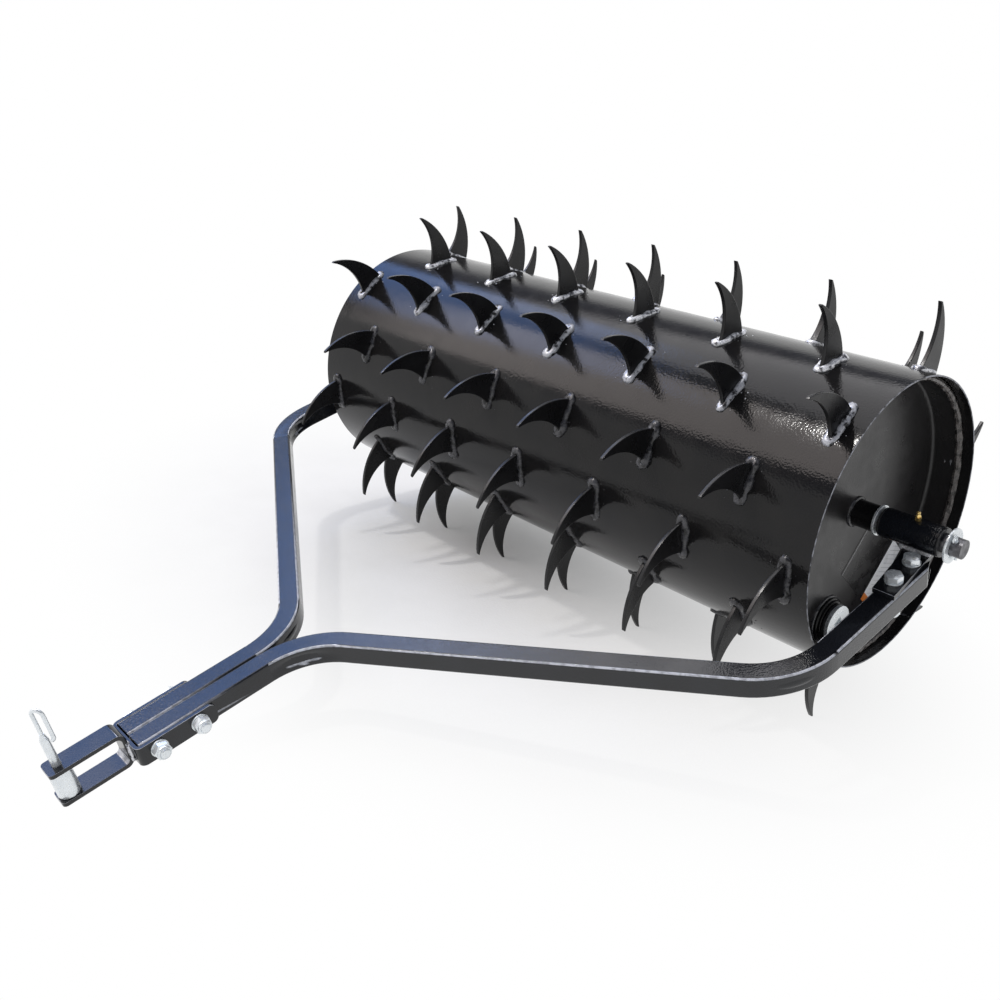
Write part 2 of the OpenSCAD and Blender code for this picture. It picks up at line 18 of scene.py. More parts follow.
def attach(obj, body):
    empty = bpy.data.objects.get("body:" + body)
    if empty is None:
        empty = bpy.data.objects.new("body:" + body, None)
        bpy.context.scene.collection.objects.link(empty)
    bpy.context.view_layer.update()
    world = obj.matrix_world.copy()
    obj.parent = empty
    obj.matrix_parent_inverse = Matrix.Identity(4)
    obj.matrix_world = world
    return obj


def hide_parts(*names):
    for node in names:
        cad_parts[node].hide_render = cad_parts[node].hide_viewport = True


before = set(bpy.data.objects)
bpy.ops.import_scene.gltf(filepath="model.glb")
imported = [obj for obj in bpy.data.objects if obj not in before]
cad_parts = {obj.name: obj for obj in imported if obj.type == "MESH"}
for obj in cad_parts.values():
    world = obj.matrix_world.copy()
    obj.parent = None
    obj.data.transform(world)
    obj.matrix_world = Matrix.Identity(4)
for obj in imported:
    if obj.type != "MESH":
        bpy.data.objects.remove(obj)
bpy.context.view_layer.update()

LOG = logging.getLogger("aerator")
MM = 0.001
# Mesh attribute that marks corners for the coat's painted highlight.
HIGHLIGHT_MARK = "painted_highlight_corner"
AXLE_MIDDLE = (0.0, 299.424, 251.067)
Pair = tuple[float, float]
Triple = tuple[float, float, float]
Colour = Triple
Socket = bpy.types.NodeSocket
Inputs = dict[str | int, object]
BMesh = bmesh.types.BMesh
BMEdge = bmesh.types.BMEdge


class Side(Enum):
    """The two ends of the axle."""

    RIGHT = 1
    LEFT = -1

    @property
    def word(self) -> str:
        """The side in lower case, as it stands in names."""
        return self.name.lower()


class Body(Enum):
    """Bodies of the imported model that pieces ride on."""

    TOW_FRAME = "tow_frame"
    DRUM = "drum"
    PLUG_SEAL = "plug_seal"
    FILL_PLUG = "fill_plug"
    HITCH_SLEEVE = "hitch_sleeve"


class Slot(Enum):
    """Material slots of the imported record."""

    DRUM_PAINT = "drum_paint"
    FRAME_COAT = "frame_coat"
    ZINC = "zinc"
    AXLE_STEEL = "axle_steel"
    BUSH_PLASTIC = "bush_plastic"
    SEAL_RUBBER = "seal_rubber"
    BRASS = "brass"
    CLAW_COAT = "claw_coat"


class NodeBench:
    """Lays out the shader nodes of one material round a Principled shader."""

    def __init__(self, name: str) -> None:
        """Starts a material with nothing but its shader.

        Args:
            name: name of the material.
        """
        self.material = bpy.data.materials.new(name)
        self.material.use_nodes = True
        self.tree = self.material.node_tree
        self.tree.nodes.clear()
        self.shader = self.add("ShaderNodeBsdfPrincipled")
        self.output = self.add("ShaderNodeOutputMaterial", {"Surface": self.shader.outputs["BSDF"]})
        self.place = self.add("ShaderNodeTexCoord").outputs["Object"]

    def add(self, kind: str, inputs: Inputs | None = None, **settings: object) -> bpy.types.Node:
        """Adds a node.

        Args:
            kind: Blender's name of the node type.
            inputs: what its inputs get, as in fill.
            settings: node properties to set.

        Returns:
            The new node.
        """
        node = self.tree.nodes.new(kind)
        for key, value in settings.items():
            setattr(node, key, value)
        self.fill(node, inputs or {})
        return node

    def fill(self, node: bpy.types.Node, inputs: Inputs) -> None:
        """Links sockets to a node's inputs or sets plain values on them.

        Args:
            node: the node.
            inputs: sockets and values by the inputs' names or numbers.
        """
        for key, value in inputs.items():
            target = node.inputs[key]
            if isinstance(value, Socket):
                self.tree.links.new(value, target)
            elif target.type == "RGBA":
                target.default_value = (*value, 1.0)
            else:
                target.default_value = value

    def feed(self, **inputs: object) -> None:
        """Fills the shader's inputs, with _ for a space in a name."""
        self.fill(self.shader, {key.replace("_", " "): value for key, value in inputs.items()})

    def mapped(self, scale: Triple = (1, 1, 1), turn: Triple = (0, 0, 0),
               shift: Triple = (0, 0, 0)) -> Socket:
        """Stretches, turns or shifts the object coordinates.

        Args:
            scale: stretch along each axis.
            turn: turn about each axis in radians.
            shift: place of the pattern's origin, in metres.

        Returns:
            The changed coordinates.
        """
        inputs = {"Vector": self.place, "Location": shift, "Rotation": turn,
                  "Scale": [1 / share for share in scale]}
        return self.add("ShaderNodeMapping", inputs, vector_type="TEXTURE").outputs["Vector"]

    def noise(self, size_mm: float, detail: float = 2.0, rough: float = 0.5,
              at: Socket | None = None) -> Socket:
        """Adds a noise pattern.

        Args:
            size_mm: size of its features.
            detail: number of finer layers.
            rough: share of each finer layer.
            at: coordinates, or the object's own.

        Returns:
            The pattern from 0 to 1.
        """
        inputs = {"Vector": at or self.place, "Scale": 1000.0 / size_mm, "Detail": detail,
                  "Roughness": rough}
        return self.add("ShaderNodeTexNoise", inputs).outputs["Fac"]

    def grains(self, size_mm: float) -> Socket:
        """Adds a smooth cell pattern, like beads of paint.

        Args:
            size_mm: size of a cell.

        Returns:
            The distance to the nearest cell's middle.
        """
        inputs = {"Vector": self.place, "Scale": 1000.0 / size_mm, "Smoothness": 0.6}
        return self.add("ShaderNodeTexVoronoi", inputs, feature="SMOOTH_F1").outputs["Distance"]

    def split(self, vector: Socket) -> bpy.types.NodeOutputs:
        """Splits coordinates into X, Y and Z."""
        return self.add("ShaderNodeSeparateXYZ", {"Vector": vector}).outputs

    def calc(self, operation: str, *values: float | Socket) -> Socket:
        """Works out a number.

        Args:
            operation: Blender's name of the operation.
            values: the numbers or sockets that it works on.

        Returns:
            The result.
        """
        inputs = dict(enumerate(values))
        return self.add("ShaderNodeMath", inputs, operation=operation).outputs["Value"]

    def spread(self, value: Socket, low: float, high: float, start: float = 0.3,
               stop: float = 0.7) -> Socket:
        """Maps a range of a pattern smoothly onto another range.

        Args:
            value: the pattern.
            low: result where the pattern is at start or below.
            high: result where the pattern is at stop or above.
            start: lower end of the pattern's range.
            stop: upper end of the pattern's range.

        Returns:
            The mapped pattern.
        """
        inputs = {"Value": value, "From Min": start, "From Max": stop, "To Min": low,
                  "To Max": high}
        node = self.add("ShaderNodeMapRange", inputs, interpolation_type="SMOOTHSTEP")
        return node.outputs["Result"]

    def tint(self, fac: Socket, first: Colour | Socket, second: Colour | Socket) -> Socket:
        """Mixes two colours.

        Args:
            fac: share of the second colour.
            first: colour or socket that shows at 0.
            second: colour or socket that shows at 1.

        Returns:
            The mixed colour.
        """
        node = self.add("ShaderNodeMix", {"Factor": fac}, data_type="RGBA")
        slots = [number for number, socket in enumerate(node.inputs) if socket.type == "RGBA"]
        self.fill(node, dict(zip(slots, (first, second))))
        return [socket for socket in node.outputs if socket.type == "RGBA"][0]

    def bump(self, height: Socket, depth_mm: float, under: Socket | None = None) -> Socket:
        """Adds a bump layer.

        Args:
            height: pattern from 0 to 1.
            depth_mm: height of the relief.
            under: bump layer below this one.

        Returns:
            The bent normal.
        """
        inputs = {"Strength": 1.0, "Distance": depth_mm * MM, "Height": height}
        if under is not None:
            inputs["Normal"] = under
        return self.add("ShaderNodeBump", inputs).outputs["Normal"]


@dataclass(frozen=True)
class Finish:
    """A surface finish. Each kind lays out its own nodes."""

    name: str

    def lay_out(self, bench: NodeBench) -> None:
        """Fills the bench with this finish's nodes."""
        raise NotImplementedError

    def material(self) -> bpy.types.Material:
        """Gives the finish's material, made at its first use."""
        known = bpy.data.materials.get(self.name)
        if known is not None:
            return known
        bench = NodeBench(self.name)
        self.lay_out(bench)
        return bench.material


@dataclass(frozen=True)
class SprayedCoat(Finish):
    """Paint or powder coat: a dark gloss film with grain and soft waves."""

    dark: Colour = (0.006, 0.006, 0.0065)
    light: Colour = (0.010, 0.0095, 0.0095)
    cloud_mm: float = 60.0
    rough_low: float = 0.10
    rough_high: float = 0.17
    sheen_mm: float = 25.0
    grain_mm: float = 2.6
    grain_depth: float = 0.11
    fine_mm: float = 1.6
    fine_depth: float = 0.012
    wave_mm: float = 120.0
    wave_depth: float = 0.12
    gloss: float = 0.23
    # Painted highlight on the shell's rim edge: its start along the axle, run, patch size and
    # colour.
    rim_highlight_from: float = 0.0
    rim_highlight_run: float = 0.4
    rim_highlight_mm: float = 9.0
    rim_highlight: Colour = (0.30, 0.31, 0.34)
    # Painted highlight on marked corners: size of its patches and its colour.
    corner_highlight_mm: float = 7.0
    corner_highlight: Colour | None = None

    def lay_out(self, bench: NodeBench) -> None:
        """Fills the bench with this finish's nodes."""
        cloud = bench.spread(bench.noise(self.cloud_mm, detail=3.0), 0.0, 1.0)
        colour = bench.tint(cloud, self.dark, self.light)
        # Painted highlight: a light colour in patches on the corners marked on the mesh.
        if self.corner_highlight:
            colour = bench.tint(self.corner_highlight_mask(bench), colour, self.corner_highlight)
        # Painted highlight: a light grey in patches round the shell's rim edge.
        if self.rim_highlight_from:
            colour = bench.tint(self.painted_rim_highlight(bench), colour, self.rim_highlight)
        sheen = bench.noise(self.sheen_mm, detail=4.0)
        normal = bench.bump(bench.noise(self.wave_mm, detail=0.0), self.wave_depth)
        normal = bench.bump(bench.grains(self.grain_mm), self.grain_depth, under=normal)
        bench.feed(Base_Color=colour,
                   Roughness=bench.spread(sheen, self.rough_low, self.rough_high),
                   Specular_IOR_Level=self.gloss,
                   Normal=bench.bump(bench.noise(self.fine_mm), self.fine_depth, under=normal))

    def corner_highlight_mask(self, bench: NodeBench) -> Socket:
        """Gives 1 in patches on the corners marked for the painted highlight."""
        mark = bench.add("ShaderNodeAttribute", attribute_name=HIGHLIGHT_MARK)
        corner = bench.spread(mark.outputs["Fac"], 0.0, 1.0, 0.2, 0.9)
        patches = bench.spread(bench.noise(self.corner_highlight_mm, detail=3.0), 0.6, 1.0, 0.35, 0.6)
        return bench.calc("MULTIPLY", corner, patches)

    def painted_rim_highlight(self, bench: NodeBench) -> Socket:
        """Gives 1 in patches beyond a distance along the axle, for the rim's painted highlight."""
        out = bench.calc("ABSOLUTE", bench.split(bench.place)["X"])
        rim = bench.spread(out, 0.0, 1.0, self.rim_highlight_from * MM,
                           (self.rim_highlight_from + self.rim_highlight_run) * MM)
        patches = bench.spread(bench.noise(self.rim_highlight_mm, detail=3.0), 0.15, 1.0, 0.35, 0.6)
        return bench.calc("MULTIPLY", rim, patches)


@dataclass(frozen=True)
class WeldFinish(Finish):
    """Painted weld metal, lumpy and glossy; bright patches of its second colour are painted
    highlight.
    """

    dark: Colour = (0.10, 0.10, 0.11)
    bright: Colour = (0.80, 0.81, 0.84)
    bare: float = 0.35
    patch_mm: float = 7.0
    rough_low: float = 0.18
    rough_high: float = 0.34
    ripple_mm: float = 3.0
    ripple_depth: float = 0.25

    def lay_out(self, bench: NodeBench) -> None:
        """Fills the bench with this finish's nodes."""
        patch = bench.spread(bench.noise(self.patch_mm, detail=3.0), 0.0, 1.0, 0.36, 0.52)
        ripple = bench.noise(self.ripple_mm)
        bench.feed(Base_Color=bench.tint(patch, self.dark, self.bright),
                   Roughness=bench.spread(ripple, self.rough_low, self.rough_high),
                   Normal=bench.bump(ripple, self.ripple_depth), Metallic=self.bare)


@dataclass(frozen=True)
class Plating(Finish):
    """Bright zinc or brass with faint clouds; hazy where less bare."""

    dull: Colour = (0.76, 0.80, 0.82)
    bright: Colour = (0.85, 0.89, 0.91)
    rough_low: float = 0.24
    rough_high: float = 0.32
    bare: float = 0.6
    cloud_mm: float = 20.0
    sheen_mm: float = 12.0
    dimple_mm: float = 5.0
    dimple_depth: float = 0.006

    def lay_out(self, bench: NodeBench) -> None:
        """Fills the bench with this finish's nodes."""
        cloud = bench.spread(bench.noise(self.cloud_mm, detail=3.0), 0.0, 1.0)
        sheen = bench.noise(self.sheen_mm)
        dimples = bench.noise(self.dimple_mm, detail=1.0)
        bench.feed(Base_Color=bench.tint(cloud, self.dull, self.bright),
                   Roughness=bench.spread(sheen, self.rough_low, self.rough_high),
                   Normal=bench.bump(dimples, self.dimple_depth), Metallic=self.bare)


@dataclass(frozen=True)
class BarSteel(Finish):
    """Oiled dark bar steel with turning marks round the axle."""

    dark: Colour = (0.055, 0.055, 0.06)
    light: Colour = (0.16, 0.16, 0.17)
    cloud_mm: float = 7.0
    bare: float = 0.85
    rough_low: float = 0.28
    rough_high: float = 0.45
    ring_mm: float = 1.2
    ring_stretch: Triple = (1.0, 0.02, 0.02)
    ring_depth: float = 0.015

    def lay_out(self, bench: NodeBench) -> None:
        """Fills the bench with this finish's nodes."""
        rings = bench.noise(self.ring_mm, at=bench.mapped(scale=self.ring_stretch))
        cloud = bench.spread(bench.noise(self.cloud_mm, detail=4.0), 0.0, 1.0)
        bench.feed(Base_Color=bench.tint(cloud, self.dark, self.light),
                   Roughness=bench.spread(rings, self.rough_low, self.rough_high),
                   Normal=bench.bump(rings, self.ring_depth), Metallic=self.bare)


@dataclass(frozen=True)
class Moulded(Finish):
    """Moulded plastic or rubber with a faint skin texture."""

    base: Colour = (0.02, 0.02, 0.021)
    lighter: Colour = (0.035, 0.035, 0.037)
    cloud_mm: float = 9.0
    rough_low: float = 0.16
    rough_high: float = 0.26
    skin_mm: float = 0.8
    skin_depth: float = 0.006

    def lay_out(self, bench: NodeBench) -> None:
        """Fills the bench with this finish's nodes."""
        cloud = bench.spread(bench.noise(self.cloud_mm, detail=3.0), 0.0, 1.0)
        bench.feed(Base_Color=bench.tint(cloud, self.base, self.lighter),
                   Roughness=bench.spread(cloud, self.rough_low, self.rough_high),
                   Normal=bench.bump(bench.noise(self.skin_mm), self.skin_depth))


@dataclass(frozen=True)
class LabelFoil(Finish):
    """Printed foil: black, one thin grey line and a white band with an orange end.

    Distances are across and along the label from the axle, in millimetres.
    """

    turn: float = math.radians(228.0)
    centre: Pair = AXLE_MIDDLE[1:]
    line: Pair = (51.0, 52.0)
    band: Pair = (130.0, 175.0)
    orange_from: float = 57.0
    edge: float = 200.0
    hatch_from: float = 137.0
    hatch_pitch: float = 6.5
    hatch_line: float = 0.28
    hatch_slant: float = 0.45
    black: tuple[Colour, Colour] = ((0.010, 0.0095, 0.010), (0.016, 0.0155, 0.016))
    white: tuple[Colour, Colour] = ((0.80, 0.81, 0.82), (0.87, 0.88, 0.89))
    orange: tuple[Colour, Colour] = ((0.62, 0.17, 0.03), (0.70, 0.22, 0.05))
    hatch_grey: Colour = (0.38, 0.39, 0.41)
    line_grey: Colour = (0.35, 0.35, 0.36)
    cloud_mm: float = 22.0
    rough_low: float = 0.25
    rough_high: float = 0.33
    wave_mm: float = 30.0
    wave_depth: float = 0.02
    gloss: float = 0.4

    def lay_out(self, bench: NodeBench) -> None:
        """Fills the bench with this finish's nodes."""
        parts = bench.split(bench.mapped(
            turn=(self.turn, 0.0, 0.0),
            shift=(0.0, self.centre[0] * MM, self.centre[1] * MM)))
        along, across = parts["Y"], parts["Z"]
        line = self.between(bench, across, *self.line)
        band = self.between(bench, across, *self.band)
        end = self.between(bench, along, self.orange_from, self.edge)
        cloud = bench.spread(bench.noise(self.cloud_mm, detail=4.0), 0.0, 1.0)
        white = bench.tint(self.hatch(bench, along, across), bench.tint(cloud, *self.white),
                           self.hatch_grey)
        stripe = bench.tint(end, white, bench.tint(cloud, *self.orange))
        ground = bench.tint(line, bench.tint(cloud, *self.black), self.line_grey)
        bench.feed(Base_Color=bench.tint(band, ground, stripe),
                   Roughness=bench.spread(cloud, self.rough_low, self.rough_high),
                   Normal=bench.bump(bench.noise(self.wave_mm, detail=1.0), self.wave_depth),
                   Specular_IOR_Level=self.gloss)

    def hatch(self, bench: NodeBench, along: Socket, across: Socket) -> Socket:
        """Gives 1 on thin slanted lines in the band's outer part, else 0.

        Args:
            bench: the label's nodes.
            along: distance along the label.
            across: distance across the label.

        Returns:
            The lines.
        """
        slant = bench.calc("MULTIPLY_ADD", across, self.hatch_slant, along)
        ruled = bench.calc("PINGPONG", slant, self.hatch_pitch / 2 * MM)
        lines = self.between(bench, ruled, -1.0, self.hatch_line)
        outer = self.between(bench, across, self.hatch_from, self.edge)
        return bench.calc("MULTIPLY", lines, outer)

    def between(self, bench: NodeBench, value: Socket, low: float, high: float) -> Socket:
        """Gives 1 where a distance lies between two others, else 0.

        Args:
            bench: the label's nodes.
            value: the distance, in metres.
            low: lower limit, in millimetres.
            high: upper limit, in millimetres.

        Returns:
            The mask.
        """
        over = bench.calc("GREATER_THAN", value, low * MM)
        under = bench.calc("LESS_THAN", value, high * MM)
        return bench.calc("MULTIPLY", over, under)


DRUM_PAINT = SprayedCoat("drum_gloss_paint")
# The shell's paint carries a painted highlight round its rim edge.
RIM_PAINT = SprayedCoat("shell_gloss_paint", rim_highlight_from=456.3)
PLATE_PAINT = SprayedCoat("plate_satin_paint", dark=(0.010, 0.0095, 0.010),
                          light=(0.017, 0.016, 0.0165), rough_low=0.27, rough_high=0.36,
                          gloss=0.42)
# The frame and hitch coats carry a painted highlight: light grey on upper corners facing the
# camera.
FRAME_COAT = SprayedCoat("frame_textured_coat", dark=(0.006, 0.0068, 0.009),
                         light=(0.010, 0.0115, 0.015), rough_low=0.10, rough_high=0.18,
                         grain_mm=1.8, grain_depth=0.17, fine_mm=0.9, fine_depth=0.02,
                         wave_mm=60.0, wave_depth=0.04, gloss=0.5, corner_highlight=(0.54, 0.56, 0.61))
HITCH_COAT = replace(FRAME_COAT, name="hitch_smooth_coat", rough_low=0.13, rough_high=0.2,
                     grain_mm=2.2, grain_depth=0.03, fine_depth=0.006, wave_mm=30.0,
                     corner_highlight=(0.58, 0.60, 0.64))
CLAW_COAT = SprayedCoat("claw_satin_coat", light=(0.012, 0.012, 0.013), rough_low=0.24,
                        rough_high=0.34, grain_mm=1.8, grain_depth=0.03, fine_mm=0.7,
                        fine_depth=0.008, wave_mm=30.0, wave_depth=0.03, gloss=0.35)
# Bright patches in these weld copies are painted highlight: glints on the lumps.
HIGHLIT_WELD = WeldFinish("painted_weld")
DIM_HIGHLIT_WELD = WeldFinish("weld_dim_painted_highlight", dark=(0.02, 0.02, 0.022), bright=(0.42, 0.43, 0.46),
                       bare=0.2)
DARK_WELD = WeldFinish("dark_painted_weld", dark=(0.008, 0.008, 0.009), bright=(0.05, 0.05, 0.055),
                       bare=0.1)
ZINC = Plating("bright_zinc")
RING_WELD = WeldFinish("brown_painted_weld", dark=(0.02, 0.018, 0.017),
                       bright=(0.10, 0.09, 0.085), bare=0.1)
AXLE_STEEL = BarSteel("dark_bar_steel")
BUSH_PLASTIC = Moulded("bush_gloss_plastic")
SEAL_RUBBER = Moulded("seal_matt_rubber", rough_low=0.5, rough_high=0.65)
NUT_INSERT = Moulded("nut_insert_nylon", base=(0.45, 0.6, 0.75), lighter=(0.6, 0.72, 0.82),
                     rough_low=0.3, rough_high=0.45)
BRASS = Plating("nipple_brass", dull=(0.55, 0.36, 0.10), bright=(0.80, 0.58, 0.22),
                rough_low=0.15, rough_high=0.3, bare=0.9)
LABEL_FOIL = LabelFoil("label_foil_print")


@dataclass(frozen=True)
class Rig:
    """A place and tilt that local meshes are moved to."""

    centre: Triple = AXLE_MIDDLE
    tilt: float = 0.0

    @property
    def matrix(self) -> Matrix:
        """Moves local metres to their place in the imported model."""
        return (Matrix.Translation(Vector(self.centre) * MM)
                @ Matrix.Rotation(self.tilt, 4, "X"))

    @property
    def up(self) -> Vector:
        """The way that local Z points."""
        return self.matrix.to_3x3() @ Vector((0, 0, 1))


DRUM_RIG = Rig()
TOW_RIG = Rig(tilt=math.radians(13.216))


@dataclass(frozen=True)
class Bead:
    """Section and lumps of a weld bead in millimetres, and its place in the noise."""

    radius: float
    lump: float
    seed: float


class Mesher:
    """Mesh steps that several sub-assemblies share.

    Widths, depths and radii in the arguments are millimetres. The meshes and the
    limits below are metres.
    """

    SAME_SPOT = 1e-6
    SAME_RUNG = 1e-5
    SAME_FACE = math.radians(0.4)
    RUNG = 15 * MM
    RUNG_ALONG = 0.999
    RUNG_BEND = math.radians(0.5)
    HOLLOW_HALF = 10.5 * MM
    RING_LUMP = 2.6
    LINE_LUMP = 2.4
    # Corners facing up and toward the camera are marked for the painted highlight.
    HIGHLIGHT_WAY = Vector((0.67, -0.62, 0.39))
    HIGHLIGHT_FACING = 0.4
    HIGHLIGHT_RISE = 0.3
    FLAT_TOP = 0.985

    @staticmethod
    def copy_of(node: str) -> BMesh:
        """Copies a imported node's mesh, merged, with flat faces made whole.

        Args:
            node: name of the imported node.

        Returns:
            The new mesh, in metres.
        """
        bm = bmesh.new()
        bm.from_mesh(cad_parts[node].data)
        bmesh.ops.remove_doubles(bm, verts=bm.verts, dist=Mesher.SAME_SPOT)
        bmesh.ops.dissolve_limit(bm, angle_limit=Mesher.SAME_FACE, verts=bm.verts,
                                 edges=bm.edges)
        return bm

    @staticmethod
    def soften(bm: BMesh, width: float, segments: int = 2, over: float = 30.0) -> None:
        """Bevels every edge that is sharper than an angle.

        Args:
            bm: the mesh, in metres.
            width: bevel width.
            segments: faces across the bevel.
            over: smallest angle that is bevelled, in degrees.
        """
        bm.normal_update()
        sharp = [e for e in bm.edges
                 if e.is_manifold and e.calc_face_angle(0.0) > math.radians(over)]
        bmesh.ops.bevel(bm, geom=sharp, offset=width * MM, offset_type="OFFSET",
                        segments=segments, profile=0.5, affect="EDGES", clamp_overlap=True,
                        material=-1)

    @staticmethod
    def mark_highlight_corners(bm: BMesh, up: Vector) -> None:
        """Marks the rounded upper corners that face up and toward the camera for a painted
        highlight.

        Args:
            bm: the mesh, in metres, with its corners rounded.
            up: the way that its top faces point.
        """
        bm.normal_update()
        layer = bm.verts.layers.float.new(HIGHLIGHT_MARK)
        for vert in bm.verts:
            rounded = all(face.normal.dot(up) < Mesher.FLAT_TOP for face in vert.link_faces)
            vert[layer] = float(rounded and vert.normal.dot(up) > Mesher.HIGHLIGHT_RISE
                                and vert.normal.dot(Mesher.HIGHLIGHT_WAY) > Mesher.HIGHLIGHT_FACING)

    @staticmethod
    def press_bends(bm: BMesh, up: Vector, depth: float, cuts: int = 7) -> None:
        """Presses a hollow in the inner wall of each bend of a bent square tube.

        Args:
            bm: the tube's mesh, in metres.
            up: axis of the bends.
            depth: depth of the hollows.
            cuts: new points across the wall.
        """
        bm.normal_update()
        rungs = [e for e in bm.edges
                 if e.is_manifold and e.calc_length() > Mesher.RUNG
                 and abs((e.verts[1].co - e.verts[0].co).normalized().dot(up)) > Mesher.RUNG_ALONG
                 and e.calc_face_angle_signed(0.0) < -Mesher.RUNG_BEND]
        waiting = set(rungs)
        pushes: list[tuple[Vector, Vector, float]] = []
        while waiting:
            bend, edge_of_search = [], [waiting.pop()]
            while edge_of_search:
                rung = edge_of_search.pop()
                bend.append(rung)
                near = {e for f in rung.link_faces for e in f.edges} & waiting
                waiting -= near
                edge_of_search += near
            pushes += Mesher.hollow_of(bend, up, depth)
        bmesh.ops.subdivide_edges(bm, edges=rungs, cuts=cuts, use_grid_fill=True)
        for vert in bm.verts:
            flat = vert.co - up * vert.co.dot(up)
            for spot, push, middle in pushes:
                if (flat - spot).length < Mesher.SAME_RUNG:
                    rise = min(1.0, abs(vert.co.dot(up) - middle) / Mesher.HOLLOW_HALF)
                    vert.co += push * math.cos(rise * math.pi / 2) ** 2
        bm.normal_update()

    @staticmethod
    def hollow_of(bend: list[BMEdge], up: Vector,
                  depth: float) -> list[tuple[Vector, Vector, float]]:
        """Gives each rung of a bend its place, its push and its middle height.

        The pushes are counted from the bend's right end, wherever the list starts.
        """
        spots = [(r.verts[0].co + r.verts[1].co) / 2 for r in bend]
        end = max(spots, key=lambda s: (s - spots[0]).length)
        other = max(spots, key=lambda s: (s - end).length)
        first = max(end, other, key=lambda s: s.x)
        reach = max((s - first).length for s in spots) or 1.0
        out = []
        for rung, spot in zip(bend, spots):
            normal = (rung.link_faces[0].normal + rung.link_faces[1].normal).normalized()
            along = (spot - first).length / reach
            push = -normal * depth * MM * math.sin(math.pi * along) ** 2
            out.append((spot - up * spot.dot(up), push, spot.dot(up)))
        return out

    @staticmethod
    def lathe(profile: Sequence[Pair], steps: int, closed: bool = True) -> BMesh:
        """Spins a profile round X.

        Args:
            profile: points (x, radius).
            steps: faces round the axis.
            closed: whether the profile's last point joins its first.

        Returns:
            The new mesh, in metres, with its faces pointing outwards.
        """
        bm = bmesh.new()
        verts = [bm.verts.new((x * MM, r * MM, 0.0)) for x, r in profile]
        edges = [bm.edges.new(pair) for pair in zip(verts, verts[1:])]
        if closed:
            edges.append(bm.edges.new((verts[-1], verts[0])))
        bmesh.ops.spin(bm, geom=verts + edges, cent=(0, 0, 0), axis=(1, 0, 0),
                       angle=2 * math.pi, steps=steps, use_merge=True)
        bmesh.ops.remove_doubles(bm, verts=bm.verts, dist=Mesher.SAME_SPOT)
        bmesh.ops.recalc_face_normals(bm, faces=bm.faces)
        return bm

    @staticmethod
    def join(target: BMesh, part: BMesh, matrix: Matrix) -> None:
        """Moves part by matrix and adds it to target; part is freed."""
        bmesh.ops.transform(part, matrix=matrix, verts=part.verts)
        scratch = bpy.data.meshes.new("scratch")
        part.to_mesh(scratch)
        part.free()
        target.from_mesh(scratch)
        bpy.data.meshes.remove(scratch)

    @staticmethod
    def lumps(bm: BMesh, height: float, size: float, seed: float) -> None:
        """Pushes a mesh in and out along its normals by seeded noise.

        Args:
            bm: the mesh, in metres.
            height: largest push.
            size: size of a lump.
            seed: place in the noise.
        """
        bm.normal_update()
        for vert in bm.verts:
            spot = vert.co / (size * MM) + Vector((seed, 2.3 * seed, -seed))
            vert.co += vert.normal * (noise.noise(spot) * height * MM)

    @staticmethod
    def ring_bead(x: float, radius: float, bead: Bead, steps: int, way: int = 1) -> BMesh:
        """Makes a lumpy weld bead that runs round the X axis.

        Args:
            x: place along the axis.
            radius: radius of the bead's path.
            bead: the bead itself.
            steps: faces round the axis.
            way: 1 at +X, or -1 for the same bead at -X.

        Returns:
            The new mesh, in metres.
        """
        section = [(way * x + bead.radius * math.cos(a), radius + bead.radius * math.sin(a))
                   for a in (math.tau * i / 8 for i in range(8))]
        bm = Mesher.lathe(section, steps)
        Mesher.lumps(bm, bead.lump, Mesher.RING_LUMP * bead.radius, way * bead.seed)
        return bm

    @staticmethod
    def line_bead(start: Vector, end: Vector, bead: Bead, way: int = 1) -> BMesh:
        """Makes a straight lumpy weld bead with round ends.

        Args:
            start: first point, in millimetres.
            end: last point, in millimetres.
            bead: the bead itself.
            way: 1, or -1 for other lumps.

        Returns:
            The new mesh, in metres.
        """
        run = end - start
        count = max(6, round(run.length / (0.5 * bead.radius)))
        bm = bmesh.new()
        bmesh.ops.create_uvsphere(bm, u_segments=10, v_segments=8, radius=bead.radius * MM)
        front = [v for v in bm.verts if v.co.z > 1e-7]
        middle = [v for v in bm.verts if abs(v.co.z) <= 1e-7]
        bmesh.ops.translate(bm, verts=front, vec=(0, 0, run.length * MM))
        rungs = [e for e in bm.edges if (e.verts[0] in middle) != (e.verts[1] in middle)
                 and (e.verts[0] in front or e.verts[1] in front)]
        bmesh.ops.subdivide_edges(bm, edges=rungs, cuts=count, use_grid_fill=False)
        Mesher.lumps(bm, bead.lump, Mesher.LINE_LUMP * bead.radius, way * bead.seed)
        turn = Vector((0, 0, 1)).rotation_difference(run).to_matrix().to_4x4()
        bmesh.ops.transform(bm, matrix=Matrix.Translation(start * MM) @ turn, verts=bm.verts)
        return bm


